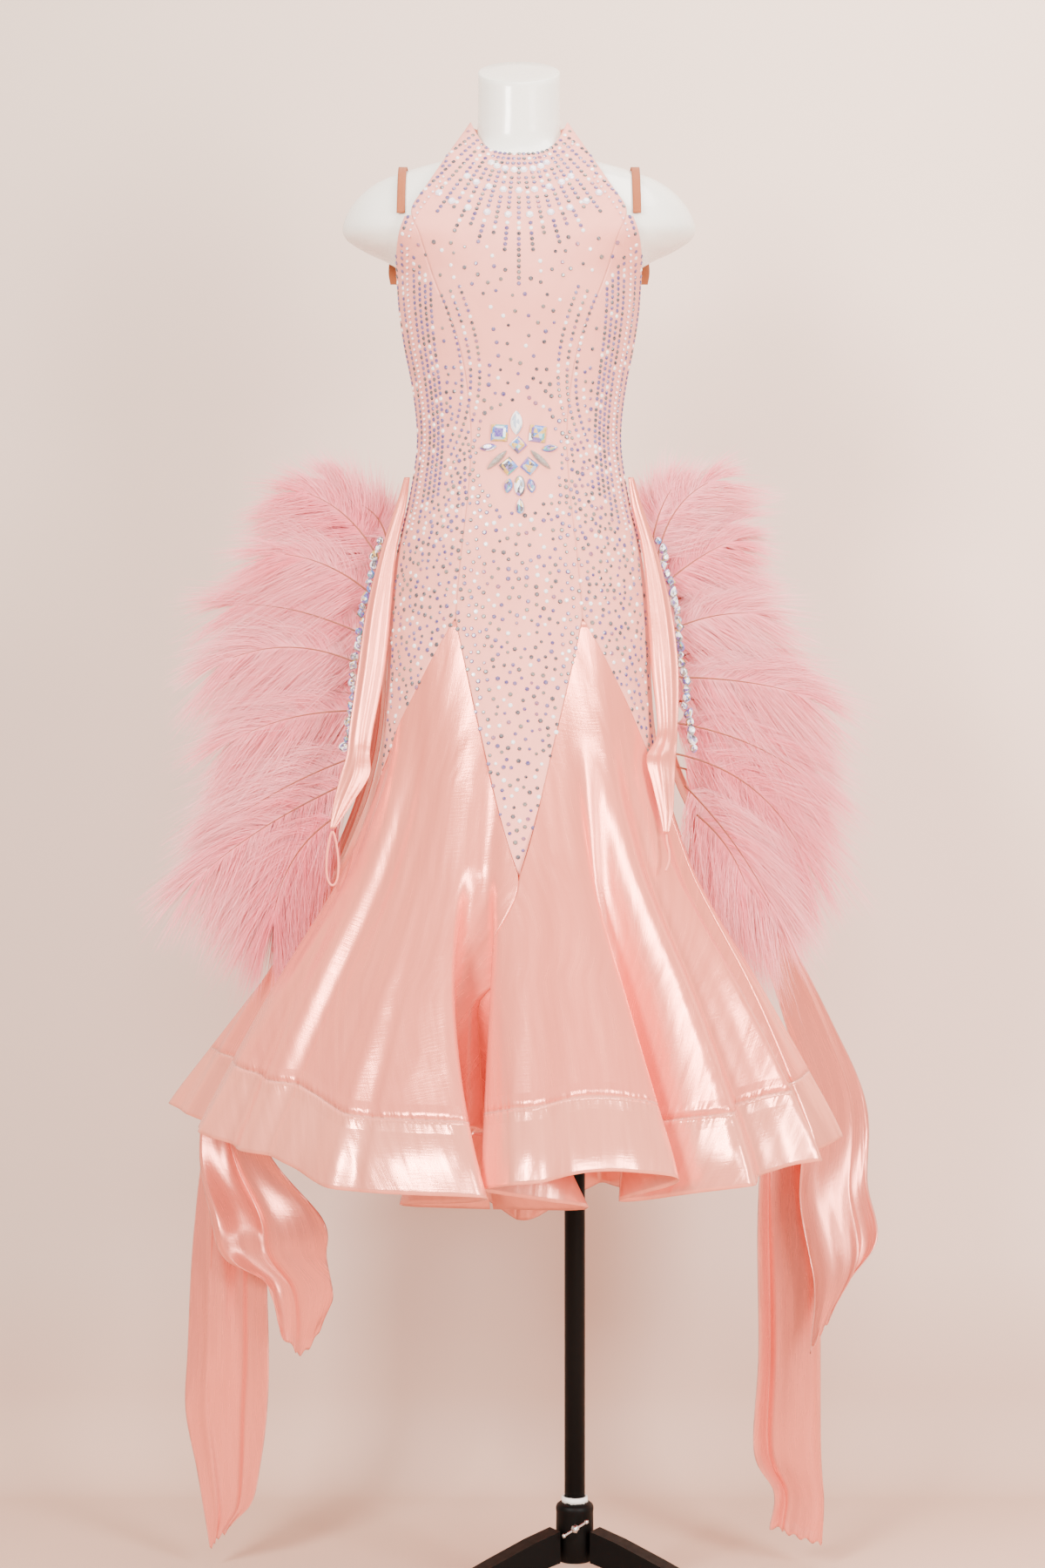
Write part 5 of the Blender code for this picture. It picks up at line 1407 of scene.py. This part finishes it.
def facet_mesh(name, facets, rng, palettes):
    """A mesh of flat facets; each stone flashes in a few broad sectors of its palette's tints."""
    count = len(facets)
    mesh = mesh_from(name, facets.reshape(-1, 3), np.arange(count * 3).reshape(-1, 3), smooth=False)
    per_stone = count // len(palettes)
    tint = []
    for palette in palettes:
        flashes = rng.choice(PALETTES[palette], (4, 6))
        for n in range(per_stone):
            level, sector = 4 * n // per_stone, (n // 2 % 16) * 6 // 16
            tint.append(flashes[level, sector])
    set_value(mesh, "tint", np.repeat(tint, 3))
    return mesh


class DRESS_OT_ornament(bpy.types.Operator):
    """Make the sewn stones of the waist ornament and of the chains beside the fans"""

    bl_idname = "dress.ornament"
    bl_label = "Large Stones"

    def execute(self, context):
        surface = cloth_surface(["front_panel_cloth"])
        rng = np.random.default_rng(40)
        for stone in ORNAMENT:
            low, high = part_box(stone.node)
            centre = (low + high) / 2
            hit, normal, _, _ = surface.ray_cast(Vector((centre.x, -1, centre.z)), Vector((0, 1, 0)))
            normal = -normal if normal.y > 0 else normal
            yaw, lean = np.arctan2(normal.x, -normal.y), np.arcsin(normal.z)
            turn = Matrix.Rotation(float(yaw), 4, "Z") @ Matrix.Rotation(-float(lean), 4, "X")
            turn = turn @ Matrix.Rotation(radians(stone.turn), 4, "Y")
            base = hit + normal * 0.0006
            facets = cut_stone(stone.cut, stone.width, stone.height, 0.0046)
            spun = np.array([[list(base + (turn @ Vector(p))) for p in face] for face in facets])
            mesh = facet_mesh(stone.node, spun, rng, [stone.palette])
            settle(linked(stone.node + "_cut", mesh), "figure", material("crystal"), [stone.node])
        path = column(CHAIN_ROWS, "x")
        for side, hand in ((1, "right"), (-1, "left")):
            facets, palettes = [], []
            height = CHAIN_ROWS[0].height
            while height > CHAIN_ROWS[-1].height:
                cut = ("pear", "square", "navette")[int(rng.integers(3))]
                size = rng.uniform(0.0085, 0.0120)
                made = cut_stone(cut, size, size * rng.uniform(1.0, 1.35), 0.0040)
                x = float(path(height)) + rng.uniform(-0.0025, 0.0025)
                spot = Vector((side * x, CHAIN_DEPTH + 0.001, height))
                turn = Matrix.Rotation(rng.uniform(-0.5, 0.5), 4, "Z")
                turn = turn @ Matrix.Rotation(rng.uniform(-0.6, 0.6), 4, "Y")
                facets.append(np.array([[list(spot + (turn @ Vector(p))) for p in face] for face in made]))
                palettes.append(rng.choice(["clear", "clear", "rainbow"]))
                height -= size * 0.95
            mesh = facet_mesh("crystal_edge", np.concatenate(facets), rng, palettes)
            piece = linked(f"crystal_edge_{hand}_cut", mesh)
            settle(piece, "figure", material("crystal"), ["crystal_edge_" + hand])
        return {"FINISHED"}


SMALL, PEARL, ROUND, LILAC = range(4)  # the kinds of small stone


def stone_lines():
    """The set lines of small stones: (x, z, size, kind), seen from the front."""
    found = []
    leans = np.linspace(-70, 70, 21)
    for n, lean in enumerate(leans):
        reach = 0.168 if lean == 0 else 0.118 - 0.040 * abs(lean) / 70 + 0.016 * (n % 2)
        for d in np.arange(0.008, reach, 0.0062):
            x = 0.046 * lean / 70 + d * sin(radians(lean * 0.72))
            z = 1.667 + 0.026 * abs(lean / 70) ** 3 - d * cos(radians(lean * 0.60))
            found.append((x, z, 0.95, LILAC if n % 2 else SMALL))
    for radius, count in ((0.030, 8), (0.056, 9), (0.086, 10)):
        for a in np.linspace(-60, 60, count):
            found.append((radius * 1.2 * sin(radians(a)), 1.668 - radius * cos(radians(a * 0.8)), 1.8, ROUND))
    for x in np.linspace(-0.0545, 0.0545, 36):
        found.append((x, 1.6625 + 0.047 * abs(x / 0.0556) ** 3.5, 0.9, PEARL))
        found.append((x * 1.06, 1.6555 + 0.040 * abs(x / 0.0556) ** 3.2, 0.9, SMALL))
    yoke = CHEST_ROWS[:7]
    armhole = through([r.height + r.lift for r in yoke], [r.half_width for r in yoke])
    for side in (-1, 1):
        for z in np.arange(1.676, 1.560, -0.0062):  # beside the armhole
            half = float(armhole(z))
            found.append((side * (half - 0.005), z, 0.95, LILAC))
            found.append((side * (half - 0.013), z - 0.003, 0.85, PEARL))
        for lane in range(7):
            for z in np.arange(1.570 - 0.010 * lane, 1.215 + 0.010 * lane, -0.0060):
                share = (1.57 - z) / 0.33
                x = float(WIDTH_AT(z)) * (0.985 - 0.042 * lane - 0.16 * lane / 6 * (share - 0.60) ** 2)
                found.append((side * x, z, 0.95, PEARL if lane == 2 else LILAC))
        for lane in range(3):  # the arcs that start on the bust
            for d in np.arange(0, 0.210, 0.0066):
                x = 0.086 - 0.010 * lane - 0.030 * sin(pi * d / 0.24) + 0.030 * (d / 0.21) ** 2
                found.append((side * x, 1.495 + 0.004 * lane - d, 0.85, SMALL if lane else LILAC))
    return found


def stone_points():
    """Where the small stones and pearls go: the set lines, then a scatter between them."""
    rng = np.random.default_rng(21)
    cell = 0.0080
    taken, kept = {}, []

    def take(x, z, gap):
        """Keeps a place unless another stone is nearer than the gap."""
        key = int(x // cell), int(z // cell)
        near = (p for i in (-1, 0, 1) for j in (-1, 0, 1) for p in taken.get((key[0] + i, key[1] + j), ()))
        if any((p[0] - x) ** 2 + (p[1] - z) ** 2 < gap**2 for p in near):
            return False
        taken.setdefault(key, []).append((x, z))
        return True

    lines = sorted(stone_lines(), key=lambda spot: spot[3] != ROUND)
    for x, z, size, kind in lines:
        if take(x, z, 0.0068 if kind == ROUND else 0.0050):
            kept.append((x, z, size, kind))
    tries = 36000
    xs, zs, luck = rng.uniform(-0.17, 0.17, tries), rng.uniform(0.845, 1.56, tries), rng.uniform(0, 1, tries)
    for x, z, chance in zip(xs, zs, luck):
        edge = abs(x) / float(WIDTH_AT(z))
        if edge > 0.97:
            continue
        waist = np.exp(-(((z - 1.30) / 0.10) ** 2))
        dense = 0.14 + 0.70 * waist * (0.3 + 0.7 * edge) + 0.40 * edge**2
        if z < 1.20:
            dense = 0.34 + 0.30 * edge
        if z > 1.42:
            dense = 0.06
        ornament = (x / 0.048) ** 2 + ((z - 1.315) / 0.062) ** 2
        gap = 0.0056 + 0.006 * (1 - min(dense * 1.6, 1))
        if chance < dense * 1.6 and ornament > 1 and take(x, z, gap):
            kept.append((x, z, rng.uniform(0.75, 1.1), SMALL if rng.uniform() < 0.8 else LILAC))
    return kept


def stone_sources():
    """One small stone and one pearl, to be set many times."""
    count = 6
    a = np.linspace(0, 2 * pi, count, endpoint=False)
    rims = [(1.0, 0.0), (1.0, 0.14), (0.60, 0.52)]
    rings = [np.stack([r * np.cos(a), r * np.sin(a), np.full(count, h)], axis=-1) for r, h in rims]
    points = np.concatenate(rings + [np.array([[0, 0, 0.52], [0, 0, 0.0]])])
    faces = []
    for ring in (0, 1):
        for n in range(count):
            m = (n + 1) % count
            low, high = ring * count, (ring + 1) * count
            faces += [(low + n, low + m, high + m), (low + n, high + m, high + n)]
    for n in range(count):
        m = (n + 1) % count
        faces += [(2 * count + n, 2 * count + m, 3 * count), (m, n, 3 * count + 1)]
    mesh = mesh_from("small_stone_source", points, np.array(faces), smooth=False)
    stone = linked("small_stone_source", mesh)
    u, v = np.linspace(0, 2 * pi, 8, endpoint=False), np.linspace(0, pi, 5)[:, None]
    ball = np.stack([np.sin(v) * np.cos(u), np.sin(v) * np.sin(u), 0.75 + np.cos(v) + 0 * u], axis=-1)
    pearl = linked("pearl_source", tidy_solid(mesh_from("pearl_source", ball, grid_faces(5, 8, True))))
    pearl.data.polygons.foreach_set("use_smooth", np.full(len(pearl.data.polygons), True))
    return stone, pearl


def setting_tree():
    """Geometry nodes that set a stone at each point, facing outwards."""
    tree = bpy.data.node_groups.new("set_stones", "GeometryNodeTree")
    tree.is_modifier = True
    for name, kind in (
        ("Geometry", "NodeSocketGeometry"), ("Stone", "NodeSocketObject"), ("Radius", "NodeSocketFloat"),
        ("Seed", "NodeSocketInt"), ("Material", "NodeSocketMaterial"),
    ):
        tree.interface.new_socket(name, in_out="INPUT", socket_type=kind)
    tree.interface.new_socket("Geometry", in_out="OUTPUT", socket_type="NodeSocketGeometry")
    start, end = tree.nodes.new("NodeGroupInput"), tree.nodes.new("NodeGroupOutput")
    source = node(tree, "GeometryNodeObjectInfo", Object=start.outputs["Stone"])
    facing = node(tree, "GeometryNodeInputNamedAttribute", data_type="FLOAT_VECTOR", Name="facing")
    size = node(tree, "GeometryNodeInputNamedAttribute", data_type="FLOAT", Name="size")
    aim = node(tree, "FunctionNodeAlignRotationToVector", axis="Z", Vector=facing.outputs["Attribute"])
    spin = tree.nodes.new("FunctionNodeRandomValue")
    spin.inputs[3].default_value = 2 * pi
    wire(tree, start.outputs["Seed"], spin.inputs["Seed"])
    about = node(tree, "ShaderNodeCombineXYZ", Z=spin.outputs[1])
    euler = tree.nodes.new("FunctionNodeEulerToRotation")
    wire(tree, about.outputs[0], euler.inputs[0])
    turned = tree.nodes.new("FunctionNodeRotateRotation")
    turned.rotation_space = "LOCAL"
    wire(tree, aim.outputs[0], turned.inputs[0])
    wire(tree, euler.outputs[0], turned.inputs[1])
    radius = maths(tree, "MULTIPLY", size.outputs["Attribute"], start.outputs["Radius"])
    place = tree.nodes.new("GeometryNodeInstanceOnPoints")
    wire(tree, start.outputs["Geometry"], place.inputs["Points"])
    wire(tree, source.outputs["Geometry"], place.inputs["Instance"])
    wire(tree, turned.outputs[0], place.inputs["Rotation"])
    wire(tree, radius, place.inputs["Scale"])
    real = tree.nodes.new("GeometryNodeRealizeInstances")
    wire(tree, place.outputs[0], real.inputs[0])
    finish = tree.nodes.new("GeometryNodeSetMaterial")
    wire(tree, real.outputs[0], finish.inputs["Geometry"])
    wire(tree, start.outputs["Material"], finish.inputs["Material"])
    wire(tree, finish.outputs[0], end.inputs["Geometry"])
    return tree


def run_tree(name, obj, tree, values):
    """Runs a tree on an object and returns the result as a plain mesh object."""
    modifier = obj.modifiers.new(name, "NODES")
    modifier.node_group = tree
    for item in tree.interface.items_tree:
        if item.item_type == "SOCKET" and item.in_out == "INPUT" and item.name in values:
            modifier[item.identifier] = values[item.name]
    bpy.context.view_layer.update()
    made = bpy.data.meshes.new_from_object(obj.evaluated_get(bpy.context.evaluated_depsgraph_get()))
    bpy.data.objects.remove(obj)
    return linked(name, made)


def cloth_surface(names):
    """The open outer surface of several cloth pieces, for setting things on."""
    points, faces = [], []
    for name in names:
        mesh = bpy.data.objects[name].data
        start = len(points)
        points += [v.co.copy() for v in mesh.vertices]
        faces += [[start + i for i in p.vertices] for p in mesh.polygons]
    return BVHTree.FromPolygons(points, faces)


class DRESS_OT_small_stones(bpy.types.Operator):
    """Set the small stones and pearls over the bodice"""

    bl_idname = "dress.small_stones"
    bl_label = "Small Stones and Pearls"

    def execute(self, context):
        sizes = context.scene.dress_sizes
        surface = cloth_surface(["front_panel_cloth", "front_side_left_cloth", "front_side_right_cloth"])
        rng = np.random.default_rng(5)
        kinds = {SMALL: [], PEARL: [], ROUND: [], LILAC: []}
        for x, z, size, kind in stone_points():
            hit, normal, _, _ = surface.ray_cast(Vector((x, -1, z)), Vector((0, 1, 0)))
            if hit is None:
                continue
            if normal.y > 0:
                normal = -normal
            palette = PALETTES[{SMALL: "small", LILAC: "lilac"}.get(kind, "pearl")]
            kinds[kind].append((hit, normal, size, float(rng.choice(palette))))
        stone, pearl = stone_sources()
        tree = setting_tree()
        settings = {
            SMALL: ("small_stones", stone, sizes.small_stone, "small_crystal"),
            LILAC: ("lilac_stones", stone, sizes.small_stone, "small_crystal"),
            PEARL: ("pearls", pearl, sizes.pearl, "pearl"),
            ROUND: ("round_stones", stone, sizes.small_stone, "pearl"),
        }
        for kind, (name, source, radius, finish) in settings.items():
            spots = kinds[kind]
            mesh = bpy.data.meshes.new(name)
            mesh.from_pydata([s[0] + s[1] * 0.0001 for s in spots], [], [])
            set_value(mesh, "facing", np.array([s[1][:] for s in spots]), "FLOAT_VECTOR")
            set_value(mesh, "size", [s[2] for s in spots])
            set_value(mesh, "tint", [s[3] for s in spots])
            values = {"Stone": source, "Radius": radius, "Seed": kind + 1, "Material": material(finish)}
            piece = run_tree(name, linked("spots", mesh), tree, values)
            settle(piece, "figure", material(finish))
        for source in (stone, pearl):
            bpy.data.objects.remove(source)
        return {"FINISHED"}


# ------------------------------------------------------------ dress form and stand
NECK_FOOT, NECK_RADIUS, NECK_SLANT, FORM_BASE = 1.72, 0.047, 0.024, 0.985
# The neck block's wall and rounded rim: how far in, and what share of the way up.
NECK_RIM = [
    (0.0, 0.25), (0.0, 0.5), (0.0, 0.75), (0.0, 0.965), (0.0006, 0.985), (0.0022, 1.0), (0.020, 1.0),
    (0.046, 1.0),
]


def form_grid(count=96):
    """The form as rings from its base up to the slanted neck top."""
    worn = [
        Ring(r.height, r.half_width - FORM_EASE, r.front - FORM_EASE, r.back - FORM_EASE)
        for r in DRESS_RINGS if r.height >= HIP
    ]
    rows = sorted(FORM_RINGS + worn, key=lambda r: r.height)
    spans = (FORM_BASE, 1.52, 70), (1.525, 1.70, 90), (1.702, NECK_FOOT, 5)
    heights = np.concatenate([np.linspace(*span) for span in spans])
    half_width, front, back = (column(rows, n)(heights) for n in ("half_width", "front", "back"))
    a = np.linspace(0, 2 * pi, count, endpoint=False)[None, :]
    depth = np.where(np.cos(a) > 0, front[:, None], back[:, None])
    grid = np.stack([half_width[:, None] * np.sin(a), -depth * np.cos(a), heights[:, None] + 0 * a], axis=-1)
    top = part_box("form_torso")[1].z
    rim = []
    for inset, share in NECK_RIM:
        radius = NECK_RADIUS - inset
        y = -radius * np.cos(a[0])
        level = top - NECK_SLANT + NECK_SLANT * y / NECK_RADIUS
        rim.append(np.stack([radius * np.sin(a[0]), y, NECK_FOOT + (level - NECK_FOOT) * share], axis=-1))
    under = [grid[0] * [k, k, 0] + np.array([0, 0, FORM_BASE]) for k in (0.05, 0.6, 0.94)]
    return np.concatenate([np.array(under), grid, np.array(rim)])


class DRESS_OT_form(bpy.types.Operator):
    """Make the gloss dress form"""

    bl_idname = "dress.form"
    bl_label = "Dress Form"

    def execute(self, context):
        grid = form_grid()
        rows, columns, _ = grid.shape
        first, last = (np.repeat(ring.mean(0)[None], columns, 0)[None] for ring in (grid[0], grid[-1]))
        grid = np.concatenate([first, grid, last])
        mesh = tidy_solid(mesh_from("form", grid, grid_faces(rows + 2, columns, True)))
        settle(linked("form_shell", mesh), "figure", material("shell"), ["form_torso"])
        return {"FINISHED"}


POLE_CHAMFER, HUB_BORE, BORE_FLOOR, TAPE_BORE = 0.0008, 0.0130, 0.079, 0.0126
STEEL_NODES = {
    "form_fitting": "bright_steel", "clamp_screw": "bright_steel",
    "leg_left": "black_steel", "leg_right": "black_steel", "leg_back": "black_steel",
}


class DRESS_OT_stand(bpy.types.Operator):
    """Make the pole, the hub and the tape wad, and give the form fitting, the clamp screw and the three legs
    their steel
    """

    bl_idname = "dress.stand"
    bl_label = "Stand"

    def execute(self, context):
        low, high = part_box("pole")
        radius = (high.x - low.x) / 2
        inner, foot, head = radius - POLE_CHAMFER, low.z + POLE_CHAMFER, high.z - POLE_CHAMFER
        profile = [(0, low.z), (inner, low.z), (radius, foot), (radius, head), (inner, high.z), (0, high.z)]
        piece = lathe("pole_tube", profile)
        settle(piece, "figure", material("black_steel"), ["pole"])
        low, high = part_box("hub")
        r = (high.x - low.x) / 2
        profile = [
            (HUB_BORE, BORE_FLOOR), (0, BORE_FLOOR), (0, low.z), (r - 0.002, low.z),
            (r, low.z + 0.002), (r - 0.0003, 0.092),
            (r - 0.0006, high.z - 0.0100), (r - 0.0002, high.z - 0.0085), (r - 0.0002, high.z - 0.0055),
            (r - 0.0012, high.z - 0.0025), (r - 0.0040, high.z - 0.0003), (r - 0.0060, high.z),
            (HUB_BORE, high.z), (HUB_BORE, BORE_FLOOR),
        ]
        piece = lathe("hub_casting", profile, 80)
        for edge in piece.data.polygons:
            edge.use_smooth = True
        settle(piece, "base", material("black_steel"), ["hub"])
        tape_low, tape_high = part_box("packing_tape")
        profile = [
            (TAPE_BORE, tape_low.z), (0.0150, tape_low.z), (0.0152, tape_low.z + 0.003),
            (0.0142, tape_high.z), (TAPE_BORE, tape_high.z), (TAPE_BORE, tape_low.z),
        ]
        piece = lathe("tape_wad", profile)
        mesh = piece.data
        rng = np.random.default_rng(4)
        co = np.zeros(len(mesh.vertices) * 3)
        mesh.vertices.foreach_get("co", co)
        co = co.reshape(-1, 3)
        away = np.hypot(co[:, 0] - POLE_X, co[:, 1]) > 0.0135
        co[away] += rng.normal(0, 0.00035, (away.sum(), 3))
        mesh.vertices.foreach_set("co", co.ravel())
        settle(piece, "figure", material("tape"), ["packing_tape"])
        for name, finish in STEEL_NODES.items():
            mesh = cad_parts[name].data
            mesh.materials.clear()
            mesh.materials.append(material(finish))
        return {"FINISHED"}


# ------------------------------------------------------------ stage
class DRESS_OT_stage(bpy.types.Operator):
    """Make the paper backdrop, the lights and the camera"""

    bl_idname = "dress.stage"
    bl_label = "Stage"

    def execute(self, context):
        scene = context.scene
        wall_y, corner = 0.62, 0.12
        path = [(-3.0, 0.0), (wall_y - corner, 0.0)]
        for a in np.linspace(0, pi / 2, 16)[1:]:
            path.append((wall_y - corner + corner * sin(a), corner - corner * cos(a)))
        path += [(wall_y, 4.0)]
        grid = np.array([[(x, y, z) for x in np.linspace(4.5, -4.5, 7)] for y, z in path])
        paper = linked("paper", mesh_from("paper", grid, grid_faces(len(path), 7)))
        paper.data.materials.append(material("backdrop"))

        def area_light(name, place, target, size, power, colour):
            light = bpy.data.lights.new(name, "AREA")
            light.shape = "RECTANGLE"
            light.size, light.size_y = size
            light.energy = power
            light.color = colour
            lamp = linked(name, light)
            lamp.location = place
            lamp.rotation_euler = (Vector(target) - Vector(place)).to_track_quat("-Z", "Y").to_euler()

        area_light("key", (-1.7, -2.9, 2.3), (0, 0, 1.0), (0.8, 1.2), 215, (1.0, 0.95, 0.90))
        area_light("fill", (1.9, -2.5, 1.6), (0.3, 0.2, 0.9), (0.8, 1.5), 170, (1.0, 0.96, 0.92))
        area_light("top", (0.5, -0.5, 3.3), (0.1, 0.1, 1.0), (2.0, 1.0), 80, (1.0, 0.97, 0.93))
        area_light("front", (0.1, -3.6, 1.9), (0, 0, 0.9), (1.0, 0.5), 40, (1.0, 0.96, 0.92))
        world = bpy.data.worlds.new("studio")
        world.use_nodes = True
        background = world.node_tree.nodes["Background"]
        background.inputs["Color"].default_value = (1.0, 0.955, 0.92, 1.0)
        background.inputs["Strength"].default_value = 0.66
        scene.world = world
        lens = bpy.data.cameras.new("camera")
        lens.lens, lens.sensor_width = 64, 36
        camera = linked("camera", lens)
        camera.location = (0.004, -3.2, 0.95)
        camera.rotation_euler = (pi / 2, 0, 0)
        scene.camera = camera
        return {"FINISHED"}


class DRESS_PT_panel(bpy.types.Panel):
    """Buttons for each piece, and the sizes and colours"""

    bl_idname = "DRESS_PT_panel"
    bl_label = "Ballroom Dress"
    bl_space_type = "VIEW_3D"
    bl_region_type = "UI"
    bl_category = "Dress"

    def draw(self, context):
        layout = self.layout
        for operator in OPERATORS:
            layout.operator(operator.bl_idname)
        for group in (context.scene.dress_sizes, context.scene.dress_colours):
            box = layout.box()
            for name in group.bl_rna.properties.keys():
                if name not in ("rna_type", "name"):
                    box.prop(group, name)


OPERATORS = (
    DRESS_OT_stage,
    DRESS_OT_form,
    DRESS_OT_stand,
    DRESS_OT_bodice,
    DRESS_OT_skirt,
    DRESS_OT_sashes,
    DRESS_OT_feathers,
    DRESS_OT_ornament,
    DRESS_OT_small_stones,
)
CLASSES = (DressSizes, DressColours, *OPERATORS, DRESS_PT_panel)


def register():
    for cls in CLASSES:
        bpy.utils.register_class(cls)
    bpy.types.Scene.dress_sizes = PointerProperty(type=DressSizes)
    bpy.types.Scene.dress_colours = PointerProperty(type=DressColours)


def unregister():
    del bpy.types.Scene.dress_sizes
    del bpy.types.Scene.dress_colours
    for cls in reversed(CLASSES):
        bpy.utils.unregister_class(cls)


def main():
    register()
    for operator in OPERATORS:
        group, name = operator.bl_idname.split(".")
        getattr(getattr(bpy.ops, group), name)()


if __name__ == "__main__":
    main()
